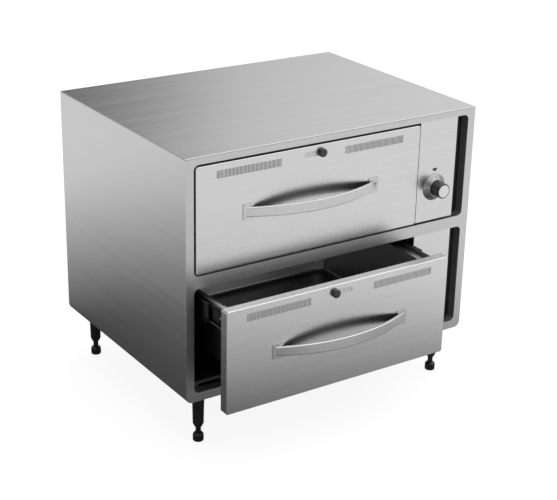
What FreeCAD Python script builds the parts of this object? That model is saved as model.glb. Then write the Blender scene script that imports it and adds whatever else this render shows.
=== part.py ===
import FreeCAD, Part
import os

# Countertop warming drawer: a heated cabinet on four legs with two pan drawers, one above the
# other, and the controls in a column at their right. Millimetres. +X is to the right, +Y to the
# back and +Z up. The drawers open towards -Y. The origin is on the ground, under the middle of
# the whole unit as it stands, with the upper drawer shut and the lower one part open.

Vector = FreeCAD.Vector
X_AXIS = Vector(1, 0, 0)
Y_AXIS = Vector(0, 1, 0)
Z_AXIS = Vector(0, 0, 1)

# ---- cabinet shell
CABINET_W = 749.0        # over the side panels
CABINET_D = 566.0        # face to back panel
CABINET_H = 543.0        # without the legs
LEG_H = 118.0            # ground to the underside of the cabinet
SHEET = 1.2              # outer stainless sheet
FRAME_T = 1.5            # front frame sheet
STILE_W = 19.0           # frame at the left and right of the openings
TOP_RAIL_H = 16.0
MID_RAIL_H = 27.0
BOTTOM_RAIL_H = 20.0
OPENING_R = 12.0         # corner of a frame opening
BODY_R = 14.0            # fold at the lower long edges
HEM_R = 0.95             # outer edges of the top panel
HEM_W = 12.0             # folded edge under the rim of the top panel
BOTTOM_FLANGE = 66.0     # side panel turned in under the cabinet, for the legs
TOP_FLANGE = 12.0
REAR_FLANGE = 16.0

# ---- what stands in each frame opening
DRAWER_GAP = 5.0         # over a drawer front and at its left
DRAWER_FOOT_GAP = 3.5    # under a drawer front
SEAM = 0.4               # between a drawer front and its control panel
PANEL_W = 105.0          # control panel
PANEL_SLOT_GAP = 1.0     # control panel to air slot
AIR_SLOT_W = 30.0        # dark upright air inlet at the right
PANEL_FOOT_GAP = 5.5     # under the control panel

# ---- heated cavity behind each drawer
RECESS = 22.0            # face to the cavity's front flange
LINER_T = 1.0
SIDE_LAP = 1.5           # drawer front past the cavity, left and right
FLOOR_RISE = 15.0        # cavity floor above the opening's lower edge
CEILING_DROP = 8.0       # cavity ceiling below the opening's upper edge
REAR_PACKING = 21.0      # insulation behind the cavity
DIVIDER_OFF = 14.0       # liner to the wall of the control compartment
DUCT_D = 25.0            # air duct behind the flange, below the cavity floor
DUCT_SLOT_H = 7.0
DUCT_SLOT_END = 16.0     # slot's end from the cavity's side wall

# ---- drawer
LOWER_OPEN = 120.0       # lower drawer, as the unit stands
DRAWER_R = 5.0           # corners of the drawer front
FACE_R = 1.8             # edge of its face
HANDLE_L = 347.0
HANDLE_REACH = 42.0      # drawer face to the outside of the bow
HANDLE_BAR = 6.0         # thickness of the bow in its middle
HANDLE_MID_H = 24.0
HANDLE_END_H = 20.0
HANDLE_PAD_W = 26.0
HANDLE_PAD_H = 36.0
HANDLE_PAD_T = 2.0
HANDLE_EDGE_R = 2.0
HANDLE_PAD_R = 4.0
HANDLE_PAD_END = 6.0     # pad's outer end to the bow's
HANDLE_ROOT_L = 16.0     # bow where it meets the pad
HANDLE_SCREW_IN = 8.0    # pad's upper and lower end to its screw
HANDLE_TAP_FACE = 0.5    # left in front of a screw's tapped hole
HANDLE_TAP_SPARE = 0.3   # past the end of the screw
PAN_BODY_D = 380.0       # front to back inside the rim
PAN_OVER_BULB = 17.5     # sensor bulb to the pan above it
PAN_RIM = 14.0           # width of the pan's rim
PAN_T = 0.9
PAN_DRAFT = 12.0         # how far each wall leans in over its depth
PAN_CORNER_R = 34.0
PAN_FLOOR_R = 14.0
PAN_RIM_R = 12.0
PAN_CLEAR = 2.0          # rim to the pan frame
PAN_FRAME_T = 1.5
PAN_FRAME_H = 48.0
PAN_HEADROOM = 8.0       # pan frame to the cavity ceiling
PAN_GUARD = 10.0         # frame above the ledge that the pan hangs on
PAN_LEDGE = 12.0

# ---- slides: three nested steel channels on each side
SLIDE_T = 13.0
SLIDE_L = 450.0
SLIDE_BACK = 2.0         # front end of a slide behind the flange
SLIDE_SHEET = 1.2
OUTER_H = 45.0
MIDDLE_H = 40.2
INNER_H = 33.0
MIDDLE_WEB_T = 5.9       # where the middle channel's web starts, from the liner
CHANNEL_LIP = 6.5
RACE_W = 2.0             # ball race between two channels

# ---- vents in the drawer front
VENT_L = 157.0
VENT_H = 17.0
VENT_DROP = 23.0         # drawer top to the middle of the vents
VENT_OFFSET = 159.0      # drawer centre to the middle of each vent
VENT_PITCH = 3.2
VENT_SLOT_W = 1.4
SHUTTER_TRAVEL = 40.0
SHUTTER_T = 1.0
SHUTTER_MARGIN = 6.0     # plate past the vents, above and below
SLIDER_DROP = 17.5       # drawer top to the slider knob's centre
SLIDER_R = 9.5
SLIDER_H = 9.0
SLIDER_STEM_R = 3.0
SLIDER_SLOT_CLEAR = 1.5
SLIDER_SLOT_H = 12.0
SLIDER_SLOT_R = 5.4
SLIDER_EDGE_R = 3.3
CHAMBER_DROP = 46.0      # drawer top to the front insulation
AIR_HOLE_RISE = 3.0      # air hole of the inner sheet above that insulation
AIR_HOLE_H = 6.0
GUIDE_W = 20.0           # clips that hold the shutter
GUIDE_LAP = 3.0

# ---- controls
KNOB_X_OFF = -5.0        # knob's axis from the middle of the control panel
KNOB_Z = 84.0            # above the opening's lower edge
SKIRT_R = 31.0           # spun skirt of the dial, next to the panel
SKIRT_TIP_R = 20.0       # and next to the grip
SKIRT_H = 10.0
SKIRT_WALL = 1.4         # measured across the axis
SKIRT_PLATE = 1.0        # its end behind the grip
GRIP_R = 18.0
GRIP_TIP_R = 17.0
KNOB_H = 36.0            # panel to the end of the knob
INSERT_R = 14.5
INSERT_T = 1.6
KNOB_LIFT = 0.6          # panel to skirt
SHAFT_R = 3.0
RUNNING = 0.05           # radial clearance of a turning or screwed fit
BUSH_R = 5.0
BUSH_OUT = 4.0           # bush in front of the panel
BUSH_NUT_AF = 14.0
BUSH_NUT_T = 2.4
SHAFT_IN = 13.0          # shaft inside the thermostat
SHAFT_END_GAP = 1.0
SHAFT_END_FACE = 12.0    # knob in front of the shaft's end
SKIRT_EDGE_R = 0.6
GRIP_EDGE_R = 2.0
FLUTES = 18
FLUTE_R = 2.0
FLUTE_OUT = 1.2          # flute's centre outside the grip
INSERT_EDGE_R = 0.5
THERMOSTAT_W = 40.0
THERMOSTAT_D = 34.0
THERMOSTAT_EDGE_R = 3.0
TAG_W = 6.0              # terminal tags of the thermostat
TAG_L = 8.0
TAG_T = 0.8
TAG_OFF = 9.0            # to the left and right of the axis
TAG_RISE = 8.0
BAFFLE_D = 7.0           # air duct behind the flange of the cavity

# ---- heating
TUBE_R = 4.0             # tubular element
TUBE_RISE = 20.0         # cavity floor to the tube's centre
TUBE_RUNS = 4
TUBE_PITCH = 78.0
TUBE_FRONT = 90.5        # cavity front to the first run
TUBE_SIDE = 110.0        # cavity wall to the bend's centre
TERMINAL_R = 5.5
TERMINAL_IN = 4.0        # collar inside the cavity's wall
TERMINAL_OUT = 10.0      # collar past the control compartment's wall
TERMINAL_PIN_R = 1.8
TERMINAL_PIN_L = 12.0
CLIP_W = 12.0
CLIP_D = 16.0
CLIP_IN = 20.0           # bend's centre to the outer clips
BULB_R = 3.0
BULB_L = 88.0
BULB_OUT = 6.0           # past the control compartment's wall
BULB_LAP = 2.0           # fine tube inside the bulb's end
BULB_FRONT = 44.0        # cavity front to the bulb
CAPILLARY_R = 1.2
CAPILLARY_BEND = 8.0

# ---- legs and feet
LEG_SIDE_INSET = 50.0    # leg's axis from the side of the cabinet
LEG_FACE_INSET = 37.0    # and from its face or back
LEG_TOP_R = 13.5
LEG_LOW_R = 12.0
LEG_END_R = 7.5
LEG_TAPER_H = 9.0
LEG_CLEAR = 34.0         # ground to the lower end of the leg
LEG_PLATE_R = 22.0
LEG_PLATE_T = 3.0
STUD_R = 5.0
STUD_H = 13.0
STUD_NUT_AF = 17.0
STUD_NUT_T = 8.0
FOOT_R = 12.0
FOOT_H = 20.0
FOOT_SHOULDER_R = 6.0
FOOT_EDGE_R = 3.0
FOOT_NECK_R = 6.0
FOOT_STEM_IN = 55.0      # threaded stem inside the leg
FOOT_BORE_SPARE = 4.0

# ---- electrics and back
GLAND_R = 14.0
GLAND_OUT = 12.0         # cord gland behind the back panel
GLAND_IN = 10.0
GLAND_NECK_R = 10.0
GLAND_EDGE_R = 4.0
GLAND_NUT_T = 5.0
CORD_BORE_R = 6.0
GLAND_Z = 64.0           # above the underside of the cabinet
GLAND_FROM_RIGHT = 76.0
LOUVRE_L = 70.0
LOUVRE_H = 5.0
LOUVRE_PITCH = 14.0
LOUVRE_ROWS = 9
LOUVRE_R = 2.2
LOUVRE_DROP = 60.0       # top of the walls to the top louvre
BLOCK_W = 56.0
BLOCK_D = 28.0
BLOCK_H = 30.0
BLOCK_STEP_D = 9.3
BLOCK_STEP_H = 12.0
BLOCK_POLES = 4
POLE_R = 3.0
POLE_D = 4.0
POLE_Y = 17.0            # block's front to its clamp holes
BLOCK_BACK = 100.0       # terminal block's front from the back panel
WIRE_R = 2.0
WIRE_BEND = 26.0
WIRE_Y = 24.0            # block's front to the leads
WIRE_X_OFF = {"lower": 10.0, "upper": 4.0}   # knob's axis to the lead
WIRE_DROP = 6.0          # below that axis
SCREW_R = 2.0
SCREW_HEAD_R = 4.0
SCREW_HEAD_T = 2.4
SCREW_EDGE_R = 0.95
SCREW_L = 8.0
SCREWS_A_SIDE = 5
CLEARANCE = 0.1          # shank in a plain hole
SPARE = 1.0              # a cutting shape past the face that it cuts
TOL = 1e-4               # two sizes this close are the same

# ---- worked out from the sizes above
LEFT = -CABINET_W / 2
RIGHT = CABINET_W / 2
FRONT = (LOWER_OPEN + HANDLE_REACH - CABINET_D - GLAND_OUT) / 2
BACK = FRONT + CABINET_D
BASE = LEG_H
TOP = BASE + CABINET_H
HEM_T = 2 * SHEET
WALL_TOP = TOP - HEM_T
OPENING_H = (CABINET_H - TOP_RAIL_H - MID_RAIL_H - BOTTOM_RAIL_H) / 2
OPENING_X0 = LEFT + STILE_W
OPENING_X1 = RIGHT - STILE_W
SLOT_X0 = OPENING_X1 - AIR_SLOT_W
PANEL_X1 = SLOT_X0 - PANEL_SLOT_GAP
PANEL_X0 = PANEL_X1 - PANEL_W
DRAWER_X0 = OPENING_X0 + DRAWER_GAP
DRAWER_X1 = PANEL_X0 - SEAM
DRAWER_X = (DRAWER_X0 + DRAWER_X1) / 2
FRONT_T = RECESS - LINER_T                 # drawer front without its inner sheet
CAVITY_X0 = DRAWER_X0 + SIDE_LAP
CAVITY_X1 = DRAWER_X1 - SIDE_LAP
CAVITY_Y0 = FRONT + RECESS
PACKING_BACK = BACK - HEM_W                # insulation ends inside the top panel's hem
LINER_BACK = PACKING_BACK - REAR_PACKING
CAVITY_Y1 = LINER_BACK - LINER_T
LINER_X0 = CAVITY_X0 - LINER_T
LINER_X1 = CAVITY_X1 + LINER_T
DIVIDER_X0 = LINER_X1 + DIVIDER_OFF
DIVIDER_X1 = DIVIDER_X0 + SHEET
CONTROL_X = (DIVIDER_X1 + RIGHT) / 2       # middle of the control compartment
PACKING_FRONT = CAVITY_Y0 + LINER_T
BASE_TOP = BASE + 2 * SHEET                # upper face of the base pan
ROOF = TOP - SHEET                         # underside of the top sheet
KNOB_X = (PANEL_X0 + PANEL_X1) / 2 + KNOB_X_OFF
SLIDE_Y0 = CAVITY_Y0 + SLIDE_BACK
RAIL_X0 = CAVITY_X0 + SLIDE_T              # pan frame between the slides
RAIL_X1 = CAVITY_X1 - SLIDE_T
PAN_RIM_W = RAIL_X1 - RAIL_X0 - 2 * PAN_FRAME_T - 2 * PAN_CLEAR
PAN_RIM_D = PAN_BODY_D + 2 * PAN_RIM
PAN_BODY_W = PAN_RIM_W - 2 * PAN_RIM
PAN_FRAME_D = PAN_RIM_D + 2 * PAN_FRAME_T + 2 * PAN_CLEAR
PAN_Y0 = CAVITY_Y0 + PAN_FRAME_T + PAN_CLEAR + PAN_RIM
SHUTTER_L = VENT_OFFSET + VENT_L / 2 + SHUTTER_MARGIN
PAN_FRAME_TOP = OPENING_H - CEILING_DROP - PAN_HEADROOM   # above the opening's lower edge
PAN_LEDGE_TOP = PAN_FRAME_TOP - PAN_GUARD
TUBE_Z = FLOOR_RISE + TUBE_RISE
BULB_Z = TUBE_Z + TUBE_R + BULB_R + 2 * CAPILLARY_R
PAN_DEPTH = PAN_LEDGE_TOP + PAN_T - BULB_Z - BULB_R - PAN_OVER_BULB
GLAND_X = RIGHT - GLAND_FROM_RIGHT
BLOCK_Y = BACK - BLOCK_BACK
SKIRT_BACK = FRONT - KNOB_LIFT
KNOB_BACK = SKIRT_BACK - SKIRT_H
KNOB_END = FRONT - KNOB_H
BUSH_END = FRONT - BUSH_OUT
THERMOSTAT_BACK = FRONT + SHEET + THERMOSTAT_D
LEG_XY = [
    (LEFT + LEG_SIDE_INSET, FRONT + LEG_FACE_INSET),
    (RIGHT - LEG_SIDE_INSET, FRONT + LEG_FACE_INSET),
    (LEFT + LEG_SIDE_INSET, BACK - LEG_FACE_INSET),
    (RIGHT - LEG_SIDE_INSET, BACK - LEG_FACE_INSET),
]
LEG_NAMES = ["front_left", "front_right", "rear_left", "rear_right"]


class Tier:
    """One drawer with its cavity and controls, by the height of its opening."""

    def __init__(self, name, bottom, opened, shutter):
        self.name = name
        self.bottom = bottom
        self.top = bottom + OPENING_H
        self.floor = bottom + FLOOR_RISE
        self.ceiling = self.top - CEILING_DROP
        self.front_z0 = bottom + DRAWER_FOOT_GAP
        self.front_z1 = self.top - DRAWER_GAP
        self.handle_z = (self.front_z0 + self.front_z1) / 2
        self.vent_z = self.front_z1 - VENT_DROP
        self.slider_z = self.front_z1 - SLIDER_DROP
        self.rail_z = bottom + PAN_FRAME_TOP - PAN_FRAME_H / 2
        self.ledge_z = bottom + PAN_LEDGE_TOP
        self.knob_z = bottom + KNOB_Z
        self.tube_z = bottom + TUBE_Z
        self.bulb_z = bottom + BULB_Z
        self.opened = opened
        self.shutter = shutter


LOWER = Tier("lower", BASE + BOTTOM_RAIL_H, LOWER_OPEN, -SHUTTER_TRAVEL / 2)
UPPER = Tier("upper", LOWER.top + MID_RAIL_H, 0.0, SHUTTER_TRAVEL / 2)
TIERS = [LOWER, UPPER]


# ---- shape helpers
def box(x0, x1, y0, y1, z0, z1):
    return Part.makeBox(x1 - x0, y1 - y0, z1 - z0, Vector(x0, y0, z0))


def rod(radius, length, x, y, z, axis):
    return Part.makeCylinder(radius, length, Vector(x, y, z), axis)


def straight_edges(shape, axis):
    """Edges that run along an axis."""
    found = []
    for edge in shape.Edges:
        run = edge.lastVertex().Point - edge.firstVertex().Point
        if run.Length > TOL and abs(abs(run.dot(axis)) - run.Length) < TOL:
            found.append(edge)
    return found


def rim_edges(shape, axis, level):
    """Edges that lie in the plane across an axis at a level."""
    found = []
    for edge in shape.Edges:
        near = edge.BoundBox
        low = Vector(near.XMin, near.YMin, near.ZMin).dot(axis)
        high = Vector(near.XMax, near.YMax, near.ZMax).dot(axis)
        if abs(low - level) < TOL and abs(high - level) < TOL:
            found.append(edge)
    return found


def round_box(x0, x1, y0, y1, z0, z1, radius, axis):
    """A box whose four edges along an axis are rounded."""
    block = box(x0, x1, y0, y1, z0, z1)
    return block.makeFillet(radius, straight_edges(block, axis))


def join(shapes):
    return shapes[0].multiFuse(shapes[1:]).removeSplitter() if len(shapes) > 1 else shapes[0]


def hexagon_nut(across_flats, thickness, bore_r, x, y, z, axis):
    """A nut whose seat is at the point given and which grows along the axis."""
    corner = across_flats / 3 ** 0.5
    side = Vector(0, 0, 1) if axis.z == 0 else Vector(1, 0, 0)
    points = []
    for turn in range(7):
        arm = FreeCAD.Rotation(axis, 60 * turn).multVec(side * corner)
        points.append(Vector(x, y, z) + arm)
    body = Part.Face(Part.makePolygon(points)).extrude(axis * thickness)
    return body.cut(rod(bore_r, thickness, x, y, z, axis))


def bent_tube(points, bend, radius):
    """A round bar along straight runs joined by tangent arcs of one radius."""
    edges = []
    start = points[0]
    for here, after in zip(points[1:-1], points[2:]):
        back_dir = (start - here).normalize()
        next_dir = (after - here).normalize()
        entry = here + back_dir * bend
        leave = here + next_dir * bend
        middle = here + (back_dir + next_dir) * bend * (1 - 0.5 ** 0.5)
        edges.append(Part.LineSegment(start, entry).toShape())
        edges.append(Part.Arc(entry, middle, leave).toShape())
        start = leave
    edges.append(Part.LineSegment(start, points[-1]).toShape())
    return sweep_round(edges, radius)


def sweep_round(edges, radius):
    path = Part.Wire(edges)
    first = edges[0]
    at = first.valueAt(first.FirstParameter)
    heading = first.tangentAt(first.FirstParameter)
    section = Part.Wire(Part.makeCircle(radius, at, heading))
    return path.makePipeShell([section], True, False)


def save(node, shapes):
    """Writes one node: its separate solids in one STEP file."""
    solids = [solid for shape in shapes for solid in shape.Solids]
    whole = solids[0] if len(solids) == 1 else Part.makeCompound(solids)
    whole.exportStep("parts/" + node + ".step")


def mirrored(shape, x):
    return shape.mirror(Vector(x, 0, 0), X_AXIS)


# ---- cabinet shell
def top_panel():
    sheet = box(LEFT, RIGHT, FRONT, BACK, ROOF, TOP)
    rim = box(LEFT, RIGHT, FRONT, BACK, WALL_TOP, ROOF)
    inside = box(LEFT + HEM_W, RIGHT - HEM_W, FRONT + HEM_W, BACK - HEM_W, WALL_TOP, ROOF)
    panel = join([sheet, rim.cut(inside)])
    outline = rim_edges(panel, X_AXIS, LEFT) + rim_edges(panel, X_AXIS, RIGHT)
    outline += rim_edges(panel, Y_AXIS, FRONT) + rim_edges(panel, Y_AXIS, BACK)
    level = [e for e in outline if e.BoundBox.ZLength < TOL]
    return panel.makeFillet(HEM_R, level)


def rear_screw_heights():
    span = WALL_TOP - BASE - 2 * BODY_R - 4 * SCREW_HEAD_R
    step = span / (SCREWS_A_SIDE - 1)
    return [BASE + BODY_R + 2 * SCREW_HEAD_R + step * n for n in range(SCREWS_A_SIDE)]


def side_panel_left():
    """A sheet turned in at the top, the bottom and the back, with a round lower fold."""
    y0 = FRONT + FRAME_T
    y1 = BACK - SHEET
    outer = box(LEFT, LEFT + BOTTOM_FLANGE, y0, y1, BASE, WALL_TOP)
    fold = [e for e in straight_edges(outer, Y_AXIS) if is_low_left(e)]
    outer = outer.makeFillet(BODY_R, fold)
    inner = box(LEFT + SHEET, LEFT + BOTTOM_FLANGE, y0, y1, BASE + SHEET, WALL_TOP)
    inner_fold = [e for e in straight_edges(inner, Y_AXIS) if is_low_left(e)]
    inner = inner.makeFillet(BODY_R - SHEET, inner_fold)
    panel = outer.cut(inner)
    top_x = LEFT + SHEET
    top_flange = box(top_x, top_x + TOP_FLANGE, y0, y1, WALL_TOP - SHEET, WALL_TOP)
    rear_flange = box(top_x, LEFT + REAR_FLANGE, y1 - SHEET, y1, BASE + BODY_R, WALL_TOP - SHEET)
    panel = join([panel, top_flange, rear_flange])
    for z in rear_screw_heights():
        hole = rod(SCREW_R + CLEARANCE, 2 * SHEET, LEFT + REAR_FLANGE / 2, y1 - 2 * SHEET, z, Y_AXIS)
        panel = panel.cut(hole)
    for x, y in LEG_XY:
        panel = panel.cut(rod(STUD_R + CLEARANCE, SHEET, x, y, BASE, Z_AXIS))
    return panel


def is_low_left(edge):
    near = edge.BoundBox
    return near.ZMax < BASE + HEM_W and near.XMax < LEFT + HEM_W


def front_frame():
    plate = box(LEFT, RIGHT, FRONT, FRONT + FRAME_T, BASE, WALL_TOP)
    low_corners = [e for e in straight_edges(plate, Y_AXIS) if e.BoundBox.ZMax < BASE + HEM_W]
    plate = plate.makeFillet(BODY_R, low_corners)
    returns = []
    for tier in TIERS:
        z0 = tier.bottom
        z1 = tier.top
        wide = round_box(OPENING_X0 - FRAME_T, OPENING_X1 + FRAME_T, FRONT + FRAME_T, CAVITY_Y0,
                         z0 - FRAME_T, z1 + FRAME_T, OPENING_R + FRAME_T, Y_AXIS)
        hole = round_box(OPENING_X0, OPENING_X1, FRONT, CAVITY_Y0, z0, z1, OPENING_R, Y_AXIS)
        plate = plate.cut(hole)
        returns.append(wide.cut(hole))
    return join([plate] + returns)


def back_panel():
    panel = box(LEFT, RIGHT, BACK - SHEET, BACK, BASE + BODY_R, WALL_TOP)
    cuts = [rod(GLAND_NECK_R, SHEET, GLAND_X, BACK - SHEET, BASE + GLAND_Z, Y_AXIS)]
    first = WALL_TOP - LOUVRE_DROP - LOUVRE_PITCH * (LOUVRE_ROWS - 1)
    for row in range(LOUVRE_ROWS):
        z = first + LOUVRE_PITCH * row
        cuts.append(round_box(CONTROL_X - LOUVRE_L / 2, CONTROL_X + LOUVRE_L / 2, BACK - SHEET, BACK,
                              z, z + LOUVRE_H, LOUVRE_R, Y_AXIS))
    for z in rear_screw_heights():
        for x in (LEFT + REAR_FLANGE / 2, RIGHT - REAR_FLANGE / 2):
            cuts.append(rod(SCREW_R + CLEARANCE, SHEET, x, BACK - SHEET, z, Y_AXIS))
    return panel.cut(Part.makeCompound(cuts))


def base_pan():
    panel = box(LEFT + BODY_R, RIGHT - BODY_R, FRONT + FRAME_T, BACK - 2 * SHEET,
                BASE + SHEET, BASE_TOP)
    for x, y in LEG_XY:
        panel = panel.cut(rod(STUD_R + CLEARANCE, SHEET, x, y, BASE + SHEET, Z_AXIS))
    return panel


def divider_wall():
    """The wall between the heated side and the control compartment."""
    wall = box(DIVIDER_X0, DIVIDER_X1, PACKING_FRONT, PACKING_BACK, BASE_TOP, ROOF)
    return wall.cut(Part.makeCompound(service_holes(DIVIDER_X0, DIVIDER_X1)))


def service_holes(x0, x1):
    """Holes for the element's ends and the sensor, through a wall from x0 to x1."""
    holes = []
    for tier in TIERS:
        for y in (tube_run_y(0), tube_run_y(TUBE_RUNS - 1)):
            holes.append(rod(TERMINAL_R + CLEARANCE, x1 - x0, x0, y, tier.tube_z, X_AXIS))
        holes.append(rod(BULB_R + CLEARANCE, x1 - x0, x0, CAVITY_Y0 + BULB_FRONT, tier.bulb_z, X_AXIS))
    return holes


def back_screws():
    made = []
    for z in rear_screw_heights():
        for x in (LEFT + REAR_FLANGE / 2, RIGHT - REAR_FLANGE / 2):
            head = rod(SCREW_HEAD_R, SCREW_HEAD_T, x, BACK, z, Y_AXIS)
            head = head.makeFillet(SCREW_EDGE_R, rim_edges(head, Y_AXIS, BACK + SCREW_HEAD_T))
            made.append(join([head, rod(SCREW_R, SCREW_L, x, BACK - SCREW_L, z, Y_AXIS)]))
    return made


# ---- heated cavity
def liner(tier):
    """Cavity lining with a front flange, an air slot under its floor and service holes."""
    outer = box(LINER_X0, LINER_X1, CAVITY_Y0, LINER_BACK, tier.floor - LINER_T, tier.ceiling + LINER_T)
    flange = box(OPENING_X0 - FRAME_T, DIVIDER_X1, CAVITY_Y0, CAVITY_Y0 + LINER_T,
                 tier.bottom - FRAME_T, tier.top + FRAME_T)
    hollow = box(CAVITY_X0, CAVITY_X1, CAVITY_Y0, CAVITY_Y1, tier.floor, tier.ceiling)
    slot_z = tier.bottom + SHEET
    slot = box(CAVITY_X0 + DUCT_SLOT_END, CAVITY_X1 - DUCT_SLOT_END, CAVITY_Y0, PACKING_FRONT,
               slot_z, slot_z + DUCT_SLOT_H)
    holes = service_holes(CAVITY_X1, LINER_X1)
    return join([outer, flange]).cut(Part.makeCompound([hollow, slot] + holes))


def insulation():
    """Slabs beside, behind, under, between and over the two cavities, clear of the leg studs."""
    left = box(LEFT + SHEET, LINER_X0, PACKING_FRONT, PACKING_BACK,
               BASE + BODY_R, WALL_TOP - SHEET)
    right = box(LINER_X1, DIVIDER_X0, PACKING_FRONT, PACKING_BACK, BASE_TOP, ROOF)
    right = right.cut(Part.makeCompound(service_holes(LINER_X1, DIVIDER_X0)))
    rear = box(LINER_X0, LINER_X1, LINER_BACK, PACKING_BACK, BASE_TOP, ROOF)
    levels = [
        (BASE_TOP, LOWER.floor - LINER_T),
        (LOWER.ceiling + LINER_T, UPPER.floor - LINER_T),
        (UPPER.ceiling + LINER_T, ROOF),
    ]
    slabs = [left, right, rear]
    for z0, z1 in levels:
        slabs.append(box(LINER_X0, LINER_X1, PACKING_FRONT + DUCT_D, LINER_BACK, z0, z1))
    stud_room = [rod(STUD_NUT_AF, STUD_H, x, y, BASE, Z_AXIS) for x, y in LEG_XY]
    return [slab.cut(Part.makeCompound(stud_room)) for slab in slabs]


def tube_run_y(run):
    return CAVITY_Y0 + TUBE_FRONT + TUBE_PITCH * run


def heating_element(tier):
    """A tube that goes to and fro across the cavity floor, both ends through the right wall."""
    z = tier.tube_z
    x_left = CAVITY_X0 + TUBE_SIDE
    x_right = CAVITY_X1 - TUBE_SIDE
    half = TUBE_PITCH / 2
    edges = []
    start = Vector(DIVIDER_X0, tube_run_y(0), z)
    for run in range(TUBE_RUNS):
        y = tube_run_y(run)
        last = run == TUBE_RUNS - 1
        x_turn = x_left if run % 2 == 0 else x_right
        outward = -half if run % 2 == 0 else half
        end = Vector(DIVIDER_X0 if last else x_turn, y, z)
        edges.append(Part.LineSegment(start, end).toShape())
        if not last:
            bulge = Vector(x_turn + outward, y + half, z)
            start = Vector(x_turn, y + TUBE_PITCH, z)
            edges.append(Part.Arc(end, bulge, start).toShape())
    tube = sweep_round(edges, TUBE_R)
    ends = []
    collar_x0 = CAVITY_X1 - TERMINAL_IN
    collar_x1 = DIVIDER_X1 + TERMINAL_OUT
    for y in (tube_run_y(0), tube_run_y(TUBE_RUNS - 1)):
        ends.append(rod(TERMINAL_R, collar_x1 - collar_x0, collar_x0, y, z, X_AXIS))
        ends.append(rod(TERMINAL_PIN_R, TERMINAL_PIN_L, collar_x1, y, z, X_AXIS))
    return join([tube] + ends)


def element_clips():
    """Cradles that hold the tubes off the cavity floor."""
    made = []
    outer_in = TUBE_SIDE + CLIP_IN
    for tier in TIERS:
        for x in (CAVITY_X0 + outer_in, DRAWER_X, CAVITY_X1 - outer_in):
            x0 = x - CLIP_W / 2
            for run in range(TUBE_RUNS):
                y = tube_run_y(run)
                post = box(x0, x0 + CLIP_W, y - CLIP_D / 2, y + CLIP_D / 2, tier.floor, tier.tube_z)
                made.append(post.cut(rod(TUBE_R + RUNNING, CLIP_W, x0, y, tier.tube_z, X_AXIS)))
    return made


def sensors():
    """A thermostat's bulb under each pan, with its fine tube to the thermostat."""
    made = []
    for tier in TIERS:
        y = CAVITY_Y0 + BULB_FRONT
        x = KNOB_X - THERMOSTAT_W / 4
        z = tier.knob_z - THERMOSTAT_W / 4
        bulb_end = DIVIDER_X1 + BULB_OUT
        bulb = rod(BULB_R, BULB_L, bulb_end - BULB_L, y, tier.bulb_z, X_AXIS)
        route = [
            Vector(bulb_end - BULB_LAP, y, tier.bulb_z),
            Vector(x, y, tier.bulb_z),
            Vector(x, y, z),
            Vector(x, THERMOSTAT_BACK, z),
        ]
        made.append(join([bulb, bent_tube(route, CAPILLARY_BEND, CAPILLARY_R)]))
    return made


# ---- controls
def control_panel(tier):
    """A tray with its face flush with the frame, open at the back and the top."""
    z0 = tier.bottom + PANEL_FOOT_GAP
    z1 = tier.top
    block = box(PANEL_X0, PANEL_X1, FRONT, CAVITY_Y0, z0, z1)
    hollow = box(PANEL_X0 + SHEET, PANEL_X1 - SHEET, FRONT + SHEET, CAVITY_Y0, z0 + SHEET, z1)
    bush_hole = rod(BUSH_R + CLEARANCE, SHEET, KNOB_X, FRONT, tier.knob_z, Y_AXIS)
    return block.cut(Part.makeCompound([hollow, bush_hole]))


def vent_baffles():
    """Dark trays that close the two air slots at the back and lead the air to the side."""
    made = []
    y1 = CAVITY_Y0 + BAFFLE_D
    for tier in TIERS:
        x0 = PANEL_X1
        x1 = OPENING_X1 + FRAME_T
        z0 = tier.bottom - FRAME_T
        z1 = tier.top + FRAME_T
        block = box(x0, x1, CAVITY_Y0, y1, z0, z1)
        hollow = box(x0 + SHEET, OPENING_X1, CAVITY_Y0, y1 - SHEET, tier.bottom, tier.top)
        made.append(block.cut(hollow))
    return made


def thermostat(tier):
    """Body behind the panel, with a threaded bush and its nut in front."""
    half = THERMOSTAT_W / 2
    body = box(KNOB_X - half, KNOB_X + half, FRONT + SHEET, THERMOSTAT_BACK,
               tier.knob_z - half, tier.knob_z + half)
    body = body.makeFillet(THERMOSTAT_EDGE_R, straight_edges(body, Y_AXIS))
    bush = rod(BUSH_R, FRONT + SHEET - BUSH_END, KNOB_X, BUSH_END, tier.knob_z, Y_AXIS)
    nut = hexagon_nut(BUSH_NUT_AF, BUSH_NUT_T, BUSH_R, KNOB_X, FRONT, tier.knob_z, -Y_AXIS)
    tags = []
    tag_z = tier.knob_z + TAG_RISE
    for x in (KNOB_X - TAG_OFF, KNOB_X + TAG_OFF):
        tags.append(box(x - TAG_W / 2, x + TAG_W / 2, THERMOSTAT_BACK, THERMOSTAT_BACK + TAG_L,
                        tag_z, tag_z + TAG_T))
    bore_end = FRONT + SHEET + SHAFT_IN + SHAFT_END_GAP
    bore = rod(SHAFT_R + RUNNING, bore_end - BUSH_END, KNOB_X, BUSH_END, tier.knob_z, Y_AXIS)
    return join([body, bush, nut] + tags).cut(bore)


def dial_skirt(tier):
    """Hollow spun cone behind the grip, which turns with it and carries the scale."""
    centre = Vector(KNOB_X, SKIRT_BACK, tier.knob_z)
    cone = Part.makeCone(SKIRT_R, SKIRT_TIP_R, SKIRT_H, centre, -Y_AXIS)
    cone = cone.makeFillet(SKIRT_EDGE_R, rim_edges(cone, Y_AXIS, KNOB_BACK))
    hollow = Part.makeCone(SKIRT_R - SKIRT_WALL, SKIRT_TIP_R - SKIRT_WALL, SKIRT_H - SKIRT_PLATE,
                           centre, -Y_AXIS)
    bore = rod(SHAFT_R + RUNNING, SKIRT_H, KNOB_X, SKIRT_BACK, tier.knob_z, -Y_AXIS)
    return cone.cut(Part.makeCompound([hollow, bore]))


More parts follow.
